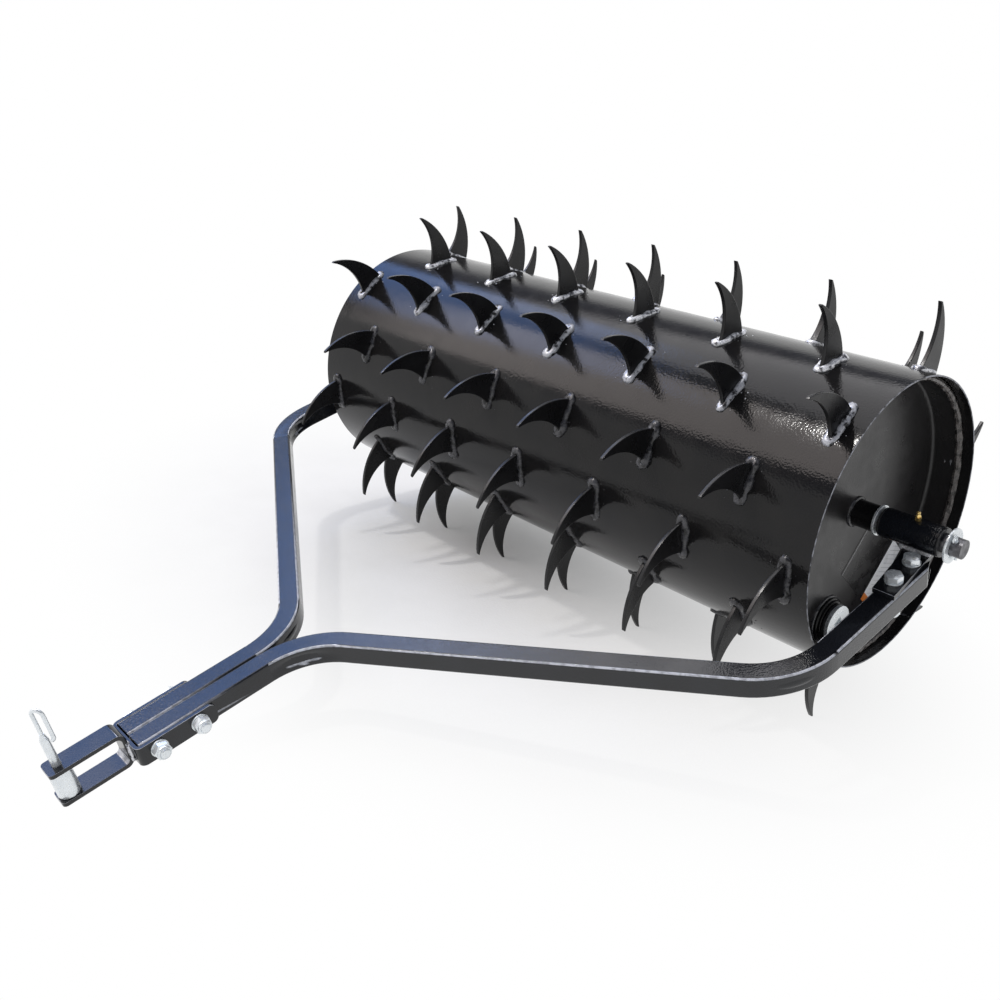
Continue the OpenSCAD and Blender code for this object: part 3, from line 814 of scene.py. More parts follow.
class Workshop:
    """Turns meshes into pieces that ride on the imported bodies."""

    def piece(self, name: str, bm: BMesh, finish: Finish, body: Body, slot: Slot,
              replaces: Iterable[str] = (), crease: float = 35.0) -> bpy.types.Object:
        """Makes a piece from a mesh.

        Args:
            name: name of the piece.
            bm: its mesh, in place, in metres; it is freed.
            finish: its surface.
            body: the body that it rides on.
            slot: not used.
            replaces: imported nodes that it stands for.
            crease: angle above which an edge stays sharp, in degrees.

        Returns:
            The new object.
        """
        mesh = bpy.data.meshes.new(name)
        bm.to_mesh(mesh)
        bm.free()
        mesh.polygons.foreach_set("use_smooth", [True] * len(mesh.polygons))
        mesh.set_sharp_from_angle(angle=math.radians(crease))
        mesh.materials.append(finish.material())
        obj = bpy.data.objects.new(name, mesh)
        bpy.context.scene.collection.objects.link(obj)
        weigh = obj.modifiers.new("face_weights", "WEIGHTED_NORMAL")
        weigh.keep_sharp = True
        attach(obj, body.value)
        if replaces:
            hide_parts(*replaces)
        LOG.info("%s: %d faces on %s", name, len(mesh.polygons), body.value)
        return obj

    def softened(self, node: str, name: str, finish: Finish, body: Body, slot: Slot,
                 width: float, segments: int = 2, corner_highlight: bool = False) -> bpy.types.Object:
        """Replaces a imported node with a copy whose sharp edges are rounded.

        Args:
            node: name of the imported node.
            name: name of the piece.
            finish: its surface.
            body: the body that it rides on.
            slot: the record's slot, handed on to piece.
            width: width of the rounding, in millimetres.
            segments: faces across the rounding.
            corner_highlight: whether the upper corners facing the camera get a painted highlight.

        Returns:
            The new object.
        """
        bm = Mesher.copy_of(node)
        Mesher.soften(bm, width, segments)
        # Marks the corners that get the coat's painted highlight.
        if corner_highlight:
            Mesher.mark_highlight_corners(bm, TOW_RIG.up)
        return self.piece(name, bm, finish, body, slot, replaces=(node,))

    def on_drum(self, name: str, bm: BMesh, finish: Finish, replaces: Iterable[str] = ()) -> None:
        """Makes a piece of the drum from a mesh that is built round the X axis."""
        bmesh.ops.transform(bm, matrix=DRUM_RIG.matrix, verts=bm.verts)
        self.piece(name, bm, finish, Body.DRUM, Slot.DRUM_PAINT, replaces=replaces)

    def dress(self, node: str, finish: Finish) -> None:
        """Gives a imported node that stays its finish."""
        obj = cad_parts[node]
        obj.data.materials.clear()
        obj.data.materials.append(finish.material())
        LOG.info("%s: dressed in %s", node, finish.name)


@dataclass
class Drum:
    """Rolled shell, pressed end plates, centre tube and their welds."""

    shop: Workshop
    radius: float = 180.0
    wall: float = 2.0
    half_length: float = 457.0
    rim_round: float = 0.7
    stations: int = 24
    steps_round: int = 240
    seam_deg: float = 300.0
    seam_sink: float = 1.3
    seam_short: float = 4.0
    seam_bead: Bead = Bead(2.0, 0.35, 4.7)
    rim: Pair = (440.0, 174.2)
    rim_bead: Bead = Bead(4.1, 1.5, 3.1)
    hub: Pair = (404.4, 17.1)
    hub_bead: Bead = Bead(2.6, 0.7, 5.9)

    def build(self) -> None:
        """Builds all pieces of the drum."""
        self.shell()
        self.seam()
        for side in Side:
            self.plate_welds(side)
        self.shop.dress("right_end_plate", PLATE_PAINT)
        self.shop.dress("left_end_plate", PLATE_PAINT)
        self.shop.softened("centre_tube", "hub_pipe", DRUM_PAINT, Body.DRUM, Slot.DRUM_PAINT, 0.5)

    def shell(self) -> None:
        """Makes the rolled sheet with rounded rims."""
        xs = [self.half_length * (2 * i / self.stations - 1) for i in range(self.stations + 1)]
        outer = [(x, self.radius) for x in xs]
        inner = [(x, self.radius - self.wall) for x in reversed(xs)]
        bm = Mesher.lathe(outer + inner, self.steps_round)
        Mesher.soften(bm, self.rim_round, 3, over=60.0)
        self.shop.on_drum("rolled_shell", bm, RIM_PAINT, replaces=("drum_shell",))

    def seam(self) -> None:
        """Makes the flat weld along the shell's joint."""
        angle = math.radians(self.seam_deg)
        spot = Vector((0, math.cos(angle), math.sin(angle))) * (self.radius - self.seam_sink)
        reach = Vector((self.half_length - self.seam_short, 0, 0))
        bm = Mesher.line_bead(spot - reach, spot + reach, self.seam_bead)
        self.shop.on_drum("shell_seam_weld", bm, DARK_WELD)

    def plate_welds(self, side: Side) -> None:
        """Makes the welds of an end plate to the shell and to the centre tube."""
        for word, finish, (x, radius), bead, steps in (
                ("rim", RING_WELD, self.rim, self.rim_bead, 420),
                ("hub", DARK_WELD, self.hub, self.hub_bead, 90)):
            bm = Mesher.ring_bead(x, radius, bead, steps, side.value)
            self.shop.on_drum(f"{side.word}_{word}_weld", bm, finish)


@dataclass
class ClawRows:
    """Twelve rows of cut plate claws, their foot welds and spatter."""

    shop: Workshop
    rows: int = 12
    claws: tuple[int, int] = (7, 6)
    first_deg: float = 15.0
    step_deg: float = 30.0
    pitch: float = 142.2
    thickness: float = 5.0
    surface: float = 180.0
    foot_mid_deg: float = -6.55
    foot_half: float = 21.6
    foot_steps: int = 20
    end_steps: int = 5
    bead: float = 5.0
    bead_gap: float = 1.5
    bead_lumps: tuple[Pair, ...] = ((3.6, 13.0), (1.1, 4.2))
    bead_flat: float = 0.8
    bead_seeds: Pair = (7.0, 1.7)
    bead_crease: float = 80.0
    edge_round: float = 0.9
    spatter: int = 5
    drop_size: Pair = (0.5, 1.1)
    drop_across: Pair = (9.0, 24.0)
    drop_along: float = 30.0
    drop_flat: float = 0.6
    # Rows whose feet face up get weld with painted highlight; the others get the dark weld.
    weld_highlights_by_row: dict[int, WeldFinish] = field(
        default_factory=lambda: {0: DIM_HIGHLIT_WELD, 1: HIGHLIT_WELD, 2: HIGHLIT_WELD, 3: HIGHLIT_WELD, 4: DIM_HIGHLIT_WELD})
    dice: random.Random = field(default_factory=lambda: random.Random(41))

    def build(self) -> None:
        """Builds every row."""
        for row in range(self.rows):
            node = f"claw_row_{row + 1:02d}"
            self.shop.softened(node, f"claws_{row + 1:02d}", CLAW_COAT, Body.DRUM, Slot.CLAW_COAT,
                               self.edge_round)
            self.welds(row)

    def across(self, row: int) -> list[float]:
        """Gives the middles of a row's claws along the axle."""
        count = self.claws[row % 2]
        return [(i - (count - 1) / 2) * self.pitch for i in range(count)]

    def welds(self, row: int) -> None:
        """Makes the foot welds of one row and the drops of metal near them."""
        bm = bmesh.new()
        middle = math.radians(self.first_deg + row * self.step_deg + self.foot_mid_deg)
        for index, x in enumerate(self.across(row)):
            part = self.foot_bead(self.bead_seeds[0] * row + self.bead_seeds[1] * index)
            for _ in range(self.spatter):
                self.drop(part)
            self.wrap(part, x, middle)
            Mesher.join(bm, part, DRUM_RIG.matrix)
        finish = self.weld_highlights_by_row.get(row, DARK_WELD)
        self.shop.piece(f"claw_welds_{row + 1:02d}", bm, finish, Body.DRUM, Slot.CLAW_COAT,
                        crease=self.bead_crease)

    def foot_bead(self, seed: float) -> BMesh:
        """Makes one closed bead round a flat claw foot.

        Local X runs across the claw, Y along its foot and Z off the drum.

        Args:
            seed: place in the noise.

        Returns:
            The new mesh, in metres.
        """
        side = self.thickness / 2 + self.bead_gap
        bm = bmesh.new()
        start = bmesh.ops.create_circle(
            bm, segments=8, radius=self.bead * MM,
            matrix=Matrix.Translation((side * MM, -self.foot_half * MM, 0))
            @ Matrix.Rotation(math.pi / 2, 4, "X"))
        edges = list({e for v in start["verts"] for e in v.link_edges})
        for end in (self.foot_half * MM, -self.foot_half * MM):
            for _ in range(self.foot_steps):
                edges = self.pull(bm, edges, (0, 2 * end / self.foot_steps, 0))
            turned = bmesh.ops.spin(bm, geom=edges, cent=(0, end, 0), axis=(0, 0, 1),
                                    angle=math.pi, steps=self.end_steps)
            edges = [g for g in turned["geom_last"] if isinstance(g, BMEdge)]
        bmesh.ops.remove_doubles(bm, verts=bm.verts, dist=Mesher.SAME_SPOT)
        bmesh.ops.recalc_face_normals(bm, faces=bm.faces)
        for index, (height, size) in enumerate(self.bead_lumps):
            Mesher.lumps(bm, height, size, seed + 3 * index)
        bmesh.ops.scale(bm, vec=(1.0, 1.0, self.bead_flat), verts=bm.verts)
        return bm

    def pull(self, bm: BMesh, edges: list[BMEdge], way: Triple) -> list[BMEdge]:
        """Extrudes a loop of edges.

        Args:
            bm: the mesh, in metres.
            edges: the loop.
            way: how far it goes, in metres.

        Returns:
            The new loop.
        """
        out = bmesh.ops.extrude_edge_only(bm, edges=edges)["geom"]
        fresh = [g for g in out if isinstance(g, bmesh.types.BMVert)]
        bmesh.ops.translate(bm, vec=way, verts=fresh)
        return [g for g in out if isinstance(g, BMEdge)
                and g.verts[0] in fresh and g.verts[1] in fresh]

    def drop(self, bm: BMesh) -> None:
        """Adds one drop of weld spatter beside the foot."""
        size = self.dice.uniform(*self.drop_size)
        spot = Vector((self.dice.choice((-1, 1)) * self.dice.uniform(*self.drop_across),
                       self.dice.uniform(-self.drop_along, self.drop_along), 0.0))
        place = Matrix.Translation(spot * MM) @ Matrix.Diagonal((1.0, 1.0, self.drop_flat, 1.0))
        bmesh.ops.create_icosphere(bm, subdivisions=1, radius=size * MM, matrix=place)

    def wrap(self, bm: BMesh, x: float, middle: float) -> None:
        """Bends flat weld metal round the drum at a claw's place."""
        for vert in bm.verts:
            angle = middle + vert.co.y / (self.surface * MM)
            radius = self.surface * MM + vert.co.z
            vert.co = Vector((x * MM + vert.co.x, radius * math.cos(angle),
                              radius * math.sin(angle)))


@dataclass(frozen=True)
class HexForm:
    """Shape of a hexagon head or nut, in millimetres."""

    across_flats: float = 18.0
    height: float = 7.5
    bore: float = 0.0
    both_ends: bool = False
    face_share: float = 0.93
    chamfer_deg: float = 30.0
    seat_share: float = 0.95
    seat_height: float = 0.4

    def mesh(self) -> BMesh:
        """Makes the hexagon with turned corners, seated on X = 0.

        Returns:
            The new mesh, in metres, with its axis along X.
        """
        flat, corner = self.across_flats / 2, self.across_flats / math.sqrt(3)
        face, seat = flat * self.face_share, flat * self.seat_share
        slope = (corner - face) * math.tan(math.radians(self.chamfer_deg))
        low = [(0.0, seat), (self.seat_height, seat), (self.seat_height, corner)]
        if self.both_ends:
            low = [(0.0, face), (slope, corner)]
        inner = self.bore / 2
        profile = [(0.0, inner), *low, (self.height - slope, corner), (self.height, face),
                   (self.height, inner)]
        bm = Mesher.lathe(profile, 72, closed=inner > 0)
        for turn in range(6):
            way = Vector((0, math.cos(turn * math.pi / 3), math.sin(turn * math.pi / 3)))
            cut = bmesh.ops.bisect_plane(bm, geom=bm.verts[:] + bm.edges[:] + bm.faces[:],
                                         plane_co=way * flat * MM, plane_no=way,
                                         clear_outer=True)
            rim = [g for g in cut["geom_cut"] if isinstance(g, BMEdge)]
            bmesh.ops.holes_fill(bm, edges=rim, sides=0)
        bmesh.ops.recalc_face_normals(bm, faces=bm.faces)
        return bm


@dataclass(frozen=True)
class Bolt:
    """Hexagon bolt with a threaded end, axis along X, head seated on X = 0."""

    shank: float = 12.0
    length: float = 51.5
    thread: float = 20.0
    pitch: float = 1.75
    thread_depth: float = 0.55
    thread_form: Triple = (0.25, 0.5, 0.85)
    point: float = 1.0
    point_depth: float = 1.1
    head: HexForm = HexForm()
    head_lap: float = 0.2

    def mesh(self) -> BMesh:
        """Makes head and shank; the head stands on +X."""
        bm = self.head.mesh()
        r = self.shank / 2
        root, end = r - self.thread_depth, -self.length
        x = end + self.thread
        profile = [(self.head_lap, 0.0), (self.head_lap, r), (x, r)]
        while x > end + self.point + 0.6:
            profile += [(x - share * self.pitch, radius)
                        for share, radius in zip(self.thread_form, (root, root, r))]
            x -= self.pitch
        profile += [(end + self.point, r), (end, r - self.point_depth), (end, 0.0)]
        Mesher.join(bm, Mesher.lathe(profile, 48, closed=False), Matrix.Identity(4))
        return bm


@dataclass(frozen=True)
class LockNut:
    """Lock nut, seated on X = 0, with a rounded collar toward +X.

    Profile points are given by their depths below its top and inside its flats.
    """

    height: float = 12.0
    bore: float = 12.2
    across_flats: float = 18.0
    hex_share: float = 0.72
    collar: tuple[Pair, ...] = ((1.5, 0.75), (0.5, 1.35), (0.0, 2.35), (0.0, 2.85), (0.6, 2.95))
    ring: tuple[Pair, ...] = ((2.5, 2.9), (0.45, 2.9), (0.3, 3.2))

    def turned(self, points: tuple[Pair, ...], inner: float, steps: int,
               foot: Sequence[Pair] = ()) -> BMesh:
        """Makes a ring round the bore.

        Args:
            points: outer profile.
            inner: inner radius.
            steps: faces round the axis.
            foot: points (x, radius) below the outer profile.

        Returns:
            The new mesh, in metres.
        """
        outer = [(self.height - down, self.across_flats / 2 - inward) for down, inward in points]
        profile = [*foot, *outer]
        return Mesher.lathe([(profile[0][0], inner), *profile, (profile[-1][0], inner)], steps)

    def mesh(self) -> BMesh:
        """Makes the hexagon and its collar."""
        hexagon = self.hex_share * self.height
        bm = HexForm(self.across_flats, hexagon, self.bore, True).mesh()
        foot = [(hexagon - 0.1, self.across_flats / 2 - self.collar[0][1])]
        Mesher.join(bm, self.turned(self.collar, self.bore / 2, 60, foot), Matrix.Identity(4))
        return bm

    def insert(self) -> BMesh:
        """Makes the nylon ring in the collar."""
        return self.turned(self.ring, self.bore / 2 + 0.02, 48)


class BoltSet:
    """Bolts of the tow frame with their lock nuts, gathered into three pieces."""

    def __init__(self) -> None:
        """Starts with empty meshes."""
        self.bolts, self.nuts, self.inserts = bmesh.new(), bmesh.new(), bmesh.new()

    def add(self, bolt: Bolt, head: Matrix, seat: Matrix) -> None:
        """Adds a bolt and its lock nut.

        Args:
            bolt: the bolt.
            head: where the bolt's head is seated, in the tow frame's own axes.
            seat: where the nut is seated, in the same axes.
        """
        for bm, part, place in ((self.bolts, bolt.mesh(), head),
                                (self.nuts, LockNut().mesh(), seat),
                                (self.inserts, LockNut().insert(), seat)):
            Mesher.join(bm, part, TOW_RIG.matrix @ place)

    def make(self, shop: Workshop, word: str) -> None:
        """Makes the pieces; word is the first one in their names."""
        for bm, last, packed in ((self.bolts, "hex_bolts", "bolts"),
                                 (self.nuts, "lock_nuts", "nuts")):
            shop.piece(f"{word}_{last}", bm, ZINC, Body.TOW_FRAME, Slot.ZINC,
                       replaces=(f"{word}_{packed}",))
        shop.piece(f"{word}_nut_inserts", self.inserts, NUT_INSERT, Body.TOW_FRAME,
                   Slot.BUSH_PLASTIC)


@dataclass
class Axle:
    """Shaft, washers, split pins, bearing tubes, bushes and nipples."""

    shop: Workshop
    nipple_x: float = 483.0
    nipple_z: float = 18.0
    nipple_hex: HexForm = HexForm(7.0, 4.9, both_ends=True)
    nipple_head: tuple[Pair, ...] = (
        (4.8, 0.0), (4.8, 2.6), (5.4, 3.0), (6.3, 2.9), (8.0, 1.9), (8.6, 1.8), (9.2, 2.1),
        (9.9, 2.45), (10.6, 2.35), (11.2, 1.8), (11.5, 1.0), (11.5, 0.5), (11.1, 0.3), (11.1, 0.0))
    nipple_foot: tuple[Pair, ...] = ((-3.5, 0.0), (-3.5, 3.0), (0.5, 3.0), (0.5, 0.0))

    def build(self) -> None:
        """Builds all pieces round the axle."""
        shop = self.shop
        shop.softened("axle_shaft", "axle_bar", AXLE_STEEL, Body.DRUM, Slot.AXLE_STEEL, 0.8, 3)
        shop.softened("thrust_washers", "hub_washers", ZINC, Body.DRUM, Slot.ZINC, 0.4)
        shop.softened("end_washers", "axle_washers", ZINC, Body.DRUM, Slot.ZINC, 0.5)
        shop.dress("cotter_pins", ZINC)
        for side in Side:
            word = side.word
            shop.softened(f"{word}_bearing_tube", f"{word}_bearing_sleeve", FRAME_COAT,
                          Body.TOW_FRAME, Slot.FRAME_COAT, 0.8, 3)
            shop.softened(f"{word}_bushes", f"{word}_flanged_bushes", BUSH_PLASTIC,
                          Body.TOW_FRAME, Slot.BUSH_PLASTIC, 0.5, 3)
        self.nipples()

    def nipples(self) -> None:
        """Makes the two grease nipples, each a hexagon with a ball head."""
        bm = bmesh.new()
        for side in Side:
            spot = Vector((side.value * self.nipple_x, 0, self.nipple_z)) * MM
            stand = (TOW_RIG.matrix @ Matrix.Translation(spot)
                     @ Matrix.Rotation(-math.pi / 2, 4, "Y"))
            Mesher.join(bm, self.nipple_hex.mesh(), stand)
            for profile in (self.nipple_head, self.nipple_foot):
                Mesher.join(bm, Mesher.lathe(profile, 32, closed=False), stand)
        self.shop.piece("ball_grease_nipples", bm, BRASS, Body.TOW_FRAME, Slot.BRASS,
                        replaces=("grease_nipples",))


@dataclass
class FillPort:
    """Welded bung, rubber seal and round screw plug."""

    shop: Workshop
    orbit: float = 139.0
    angle_deg: float = 257.0
    foot: Pair = (404.2, 28.8)
    foot_bead: Bead = Bead(2.2, 0.7, 8.1)

    def build(self) -> None:
        """Builds all pieces of the fill port."""
        shop = self.shop
        shop.softened("fill_bung", "welded_bung", DRUM_PAINT, Body.DRUM, Slot.DRUM_PAINT, 1.2, 3)
        shop.softened("plug_seal", "rubber_seal", SEAL_RUBBER, Body.PLUG_SEAL,
                      Slot.SEAL_RUBBER, 1.0, 3)
        shop.softened("fill_plug", "screw_plug", ZINC, Body.FILL_PLUG, Slot.ZINC, 0.8, 3)
        self.bung_weld()

    def bung_weld(self) -> None:
        """Makes the weld round the bung's foot."""
        angle = math.radians(self.angle_deg)
        spot = Vector((0, math.cos(angle), math.sin(angle))) * self.orbit * MM
        bm = Mesher.ring_bead(*self.foot, self.foot_bead, 140)
        bmesh.ops.translate(bm, vec=spot, verts=bm.verts)
        self.shop.on_drum("bung_weld", bm, DARK_WELD)


@dataclass
class TowArms:
    """Bent square tubes, bracket plates, their bolts and welds."""

    shop: Workshop
    bracket_top: float = -18.1
    washer: float = 2.2
    arm_low: float = -51.2
    hollow: float = 3.5
    edge_round: float = 1.1
    first_turn: float = 0.35
    turn_step: float = 0.6
    bolts: tuple[Pair, ...] = ((497.5, 73.0), (495.5, 32.0))
    weld_height: float = -17.0
    weld_inner: float = 471.0
    rear_weld: Pair = (503.0, -9.5)
    rear_bead: Bead = Bead(3.6, 1.2, 2.0)
    front_weld: Pair = (502.0, 8.0)
    front_bead: Bead = Bead(3.6, 1.2, 6.0)

    def build(self) -> None:
        """Builds both arms and what holds them to the bearing tubes."""
        up = TOW_RIG.up
        for side in Side:
            node = f"{side.word}_arm"
            bm = Mesher.copy_of(node)
            Mesher.press_bends(bm, up, self.hollow)
            # Marks the tube's upper corners for the coat's painted highlight.
            Mesher.mark_highlight_corners(bm, up)
            self.shop.piece(f"{side.word}_bent_tube", bm, FRAME_COAT, Body.TOW_FRAME,
                            Slot.FRAME_COAT, replaces=(node,))
            # The bracket's upper corners get the coat's painted highlight.
            self.shop.softened(f"{side.word}_bracket_plate", f"{side.word}_bracket", HITCH_COAT,
                               Body.TOW_FRAME, Slot.FRAME_COAT, self.edge_round, 3, True)
            self.bracket_weld(side)
        self.bolt_sets()
        self.shop.softened("bracket_washers", "bracket_flat_washers", ZINC, Body.TOW_FRAME,
                           Slot.ZINC, 0.35)

    def bolt_sets(self) -> None:
        """Makes the bracket bolts and their lock nuts."""
        bolts = BoltSet()
        for side in Side:
            for index, (across, forward) in enumerate(self.bolts):
                spin = Matrix.Rotation(self.first_turn + self.turn_step * index, 4, "X")
                top = Vector((side.value * across, -forward, self.bracket_top + self.washer)) * MM
                low = Vector((side.value * across, -forward, self.arm_low - self.washer)) * MM
                bolts.add(Bolt(),
                          Matrix.Translation(top) @ Matrix.Rotation(-math.pi / 2, 4, "Y") @ spin,
                          Matrix.Translation(low) @ Matrix.Rotation(math.pi / 2, 4, "Y"))
        bolts.make(self.shop, "bracket")

    def bracket_weld(self, side: Side) -> None:
        """Makes the welds between a bearing tube and its bracket plate."""
        bm = bmesh.new()
        for (outer, y), bead in ((self.rear_weld, self.rear_bead),
                                 (self.front_weld, self.front_bead)):
            start = Vector((side.value * self.weld_inner, y, self.weld_height))
            end = Vector((side.value * outer, y, self.weld_height))
            Mesher.join(bm, Mesher.line_bead(start, end, bead, side.value), TOW_RIG.matrix)
        # Weld with painted highlight on its lumps.
        self.shop.piece(f"{side.word}_bracket_welds", bm, HIGHLIT_WELD, Body.TOW_FRAME, Slot.FRAME_COAT)


@dataclass
class Hitch:
    """Channel, clevis, cross bolts, pin and sleeve."""

    shop: Workshop
    arm_mid: float = -37.7
    channel_half: float = 32.2
    washer: float = 2.2
    bolt_forward: Pair = (760.1, 710.1)
    bolt_length: float = 82.8
    bolt_thread: float = 30.0
    edge_round: float = 1.1
    first_turn: float = 0.3
    turn_step: float = 0.8
    weld_forward: float = 785.3
    side_weld_x: float = 14.6
    side_weld_z: Pair = (-28.0, -47.0)
    side_bead: Bead = Bead(2.6, 0.9, 14.6)
    top_weld_x: Pair = (-12.0, 12.0)
    top_weld_z: float = -25.0
    top_bead: Bead = Bead(2.8, 0.9, 9.0)

    def build(self) -> None:
        """Builds all pieces of the hitch."""
        shop = self.shop
        # Channel and clevis corners get the coat's painted highlight.
        shop.softened("hitch_channel", "bent_channel", HITCH_COAT, Body.TOW_FRAME,
                      Slot.FRAME_COAT, self.edge_round, 3, True)
        shop.softened("hitch_clevis", "bent_clevis", HITCH_COAT, Body.TOW_FRAME,
                      Slot.FRAME_COAT, self.edge_round, 3, True)
        shop.softened("channel_washers", "channel_flat_washers", ZINC, Body.TOW_FRAME,
                      Slot.ZINC, 0.35)
        shop.softened("hitch_sleeve", "spacer_sleeve", ZINC, Body.HITCH_SLEEVE, Slot.ZINC, 0.5, 3)
        shop.dress("hitch_pin", ZINC)
        self.cross_bolts()
        self.clevis_weld()

    def cross_bolts(self) -> None:
        """Makes the two cross bolts, heads left and lock nuts right."""
        bolts = BoltSet()
        reach = Matrix.Translation(((self.channel_half + self.washer) * MM, 0, 0))
        for index, forward in enumerate(self.bolt_forward):
            spot = Matrix.Translation((0, -forward * MM, self.arm_mid * MM))
            spin = Matrix.Rotation(self.first_turn + self.turn_step * index, 4, "X")
            bolts.add(Bolt(length=self.bolt_length, thread=self.bolt_thread),
                      spot @ reach.inverted() @ Matrix.Rotation(math.pi, 4, "Y") @ spin,
                      spot @ reach @ spin)
        bolts.make(self.shop, "channel")

    def clevis_weld(self) -> None:
        """Makes the welds between clevis and channel."""
        bm = bmesh.new()
        y = -self.weld_forward
        for way in (-1, 1):
            start, end = (Vector((way * self.side_weld_x, y, z)) for z in self.side_weld_z)
            Mesher.join(bm, Mesher.line_bead(start, end, self.side_bead, way), TOW_RIG.matrix)
        start, end = (Vector((x, y, self.top_weld_z)) for x in self.top_weld_x)
        Mesher.join(bm, Mesher.line_bead(start, end, self.top_bead), TOW_RIG.matrix)
        # Weld with painted highlight on its lumps.
        self.shop.piece("clevis_welds", bm, HIGHLIT_WELD, Body.TOW_FRAME, Slot.FRAME_COAT)


@dataclass(frozen=True)
class SoftBox:
    """An area lamp that points at the aerator."""

    name: str
    way: Triple
    distance: float
    width: float
    height: float
    power: float
    colour: Colour = (1.0, 1.0, 1.0)
    roll_deg: float = 0.0

    def hang(self, target: Vector) -> None:
        """Hangs the lamp at its distance from the target."""
        data = bpy.data.lights.new(self.name, "AREA")
        data.shape = "RECTANGLE"
        data.size, data.size_y = self.width, self.height
        data.energy = self.power
        data.color = self.colour
        lamp = bpy.data.objects.new(self.name, data)
        bpy.context.scene.collection.objects.link(lamp)
        way = Vector(self.way).normalized()
        lamp.matrix_world = (Matrix.Translation(target + way * self.distance)
                             @ way.to_track_quat("Z", "Y").to_matrix().to_4x4()
                             @ Matrix.Rotation(math.radians(self.roll_deg), 4, "Z"))


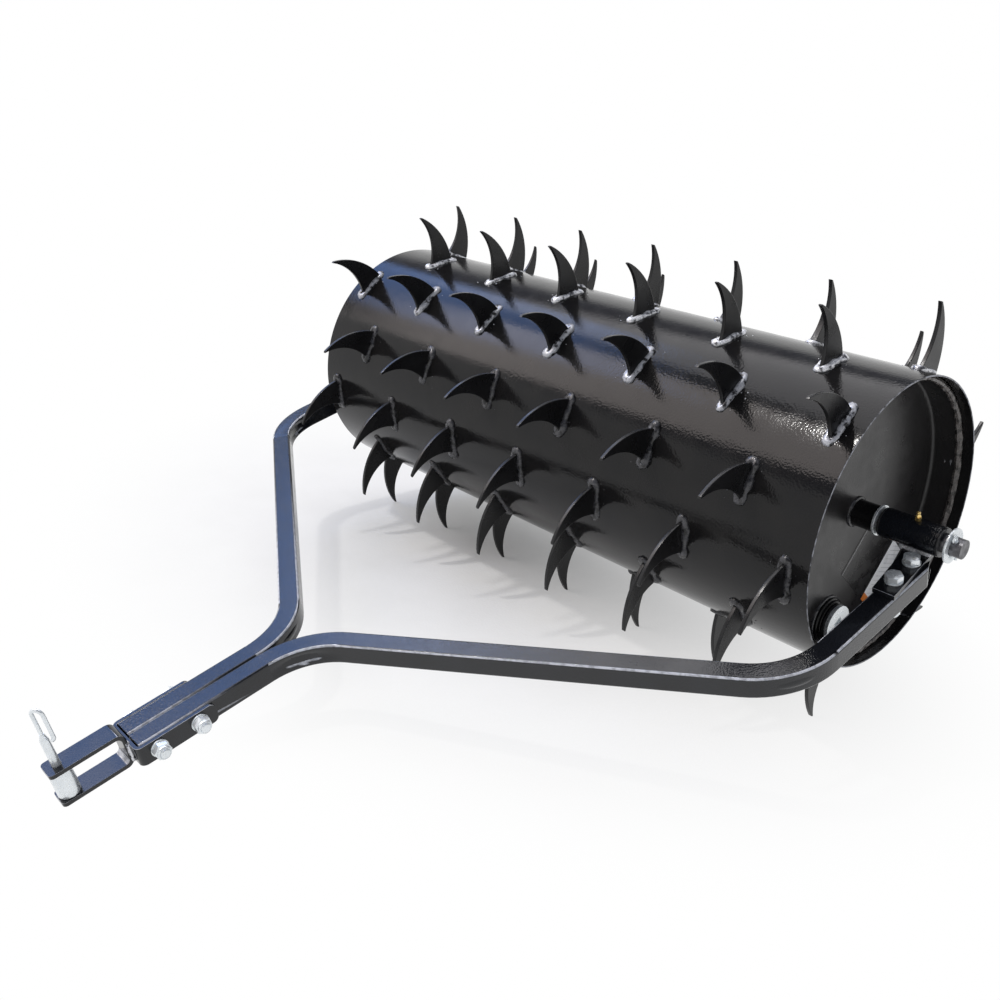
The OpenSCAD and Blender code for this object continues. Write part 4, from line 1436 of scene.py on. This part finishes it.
@dataclass
class Studio:
    """Floor, sky, soft boxes and camera."""

    target: Triple = (0.0, 0.1, 0.2)
    boxes: tuple[SoftBox, ...] = (
        SoftBox("band_box", (-0.54, -0.42, 0.73), 9.0, 6.4, 5.4, 400.0, (1.0, 0.91, 0.87), 35.6),
        SoftBox("sky_box", (-0.74, -0.01, 0.67), 9.0, 6.0, 3.3, 165.0, (0.24, 0.44, 1.0)),
        SoftBox("top_box", (-0.378, 0.32, 0.87), 9.0, 6.8, 6.5, 293.0, (0.98, 0.96, 0.97)),
        SoftBox("sun_box", (-0.36, -0.29, 0.88), 9.0, 0.5, 0.5, 230.0, (1.0, 0.98, 0.95)),
    )
    floor_half: float = 12.0
    floor_dark: Colour = (0.60, 0.60, 0.595)
    floor_light: Colour = (0.67, 0.67, 0.665)
    floor_cloud_mm: float = 180.0
    floor_grit_mm: float = 4.0
    floor_grit_depth: float = 0.3
    floor_rough: float = 0.85
    floor_gloss: float = 0.2
    fade_scale: Triple = (0.7, 1.0, 1.0)
    fade_centre: Triple = (-0.2, 0.23, 0.0)
    fade_reach: Pair = (-0.15, 0.65)
    dome: tuple[tuple[float, Colour], ...] = (
        (0.38, (1.0, 1.0, 1.0)), (0.46, (0.20, 0.21, 0.25)), (1.0, (0.26, 0.28, 0.33)))
    lens: float = 38.70
    eye: Triple = (985.0, -1121.9, 507.4)
    eye_axes: tuple[Triple, Triple, Triple] = (
        (0.66974, 0.74197, 0.03046), (-0.31060, 0.24263, 0.91905), (0.67452, -0.62499, 0.39296))

    def build(self) -> None:
        """Sets up everything round the object."""
        self.floor()
        self.sky()
        for box in self.boxes:
            box.hang(Vector(self.target))
        self.camera()
        bpy.context.scene.view_settings.view_transform = "Standard"

    def floor(self) -> None:
        """Lays a pale plain floor that fades to white away from the object."""
        bench = NodeBench("pale_floor")
        spot = bench.mapped(scale=self.fade_scale, shift=self.fade_centre)
        away = bench.add("ShaderNodeVectorMath", {0: spot}, operation="LENGTH")
        far = bench.spread(away.outputs["Value"], 0.0, 1.0, *self.fade_reach)
        cloud = bench.spread(bench.noise(self.floor_cloud_mm, detail=6.0, rough=0.6), 0.0, 1.0)
        grit = bench.noise(self.floor_grit_mm, detail=4.0)
        bench.feed(Base_Color=bench.tint(cloud, self.floor_dark, self.floor_light),
                   Normal=bench.bump(grit, self.floor_grit_depth),
                   Roughness=self.floor_rough, Specular_IOR_Level=self.floor_gloss)
        glow = bench.add("ShaderNodeEmission", {"Color": (1.0, 1.0, 1.0)})
        rays = bench.add("ShaderNodeLightPath").outputs
        seen = rays["Is Camera Ray"]
        for kind in ("Is Glossy Ray", "Is Transmission Ray"):
            seen = bench.calc("MAXIMUM", seen, rays[kind])
        mix = bench.add("ShaderNodeMixShader", {0: bench.calc("MULTIPLY", far, seen),
                                                1: bench.shader.outputs["BSDF"],
                                                2: glow.outputs[0]})
        bench.fill(bench.output, {"Surface": mix.outputs[0]})
        bm = bmesh.new()
        bmesh.ops.create_grid(bm, x_segments=1, y_segments=1, size=self.floor_half)
        mesh = bpy.data.meshes.new("floor")
        bm.to_mesh(mesh)
        bm.free()
        mesh.materials.append(bench.material)
        floor = bpy.data.objects.new("floor", mesh)
        bpy.context.scene.collection.objects.link(floor)

    def sky(self) -> None:
        """Makes a soft dome: a white backdrop all round and a dim ceiling above it."""
        world = bpy.data.worlds.new("dome")
        bpy.context.scene.world = world
        world.use_nodes = True
        tree = world.node_tree
        tree.nodes.clear()
        out = tree.nodes.new("ShaderNodeOutputWorld")
        shine = tree.nodes.new("ShaderNodeBackground")
        ramp = tree.nodes.new("ShaderNodeValToRGB")
        parts = tree.nodes.new("ShaderNodeSeparateXYZ")
        place = tree.nodes.new("ShaderNodeTexCoord")
        stops = ramp.color_ramp.elements
        stops.new(self.dome[1][0])
        for stop, (height, colour) in zip(stops, self.dome):
            stop.position, stop.color = height, (*colour, 1.0)
        tree.links.new(place.outputs["Generated"], parts.inputs[0])
        tree.links.new(parts.outputs["Z"], ramp.inputs["Fac"])
        tree.links.new(ramp.outputs["Color"], shine.inputs["Color"])
        tree.links.new(shine.outputs[0], out.inputs["Surface"])

    def camera(self) -> None:
        """Places the camera at the photograph's viewing angle."""
        data = bpy.data.cameras.new("camera")
        data.sensor_width = 36.0
        data.lens = self.lens
        data.clip_end = 50.0
        camera = bpy.data.objects.new("camera", data)
        bpy.context.scene.collection.objects.link(camera)
        turn = Matrix(self.eye_axes).transposed().to_4x4()
        spot = Vector(DRUM_RIG.centre) + Vector(self.eye)
        camera.matrix_world = Matrix.Translation(spot * MM) @ turn
        bpy.context.scene.camera = camera


def main() -> None:
    """Builds every sub-assembly and the studio, in order."""
    logging.basicConfig(level=logging.INFO, format="%(name)s: %(message)s")
    shop = Workshop()
    Studio().build()
    Drum(shop).build()
    ClawRows(shop).build()
    Axle(shop).build()
    FillPort(shop).build()
    shop.dress("drum_label", LABEL_FOIL)
    TowArms(shop).build()
    Hitch(shop).build()


if __name__ == "__main__":
    main()
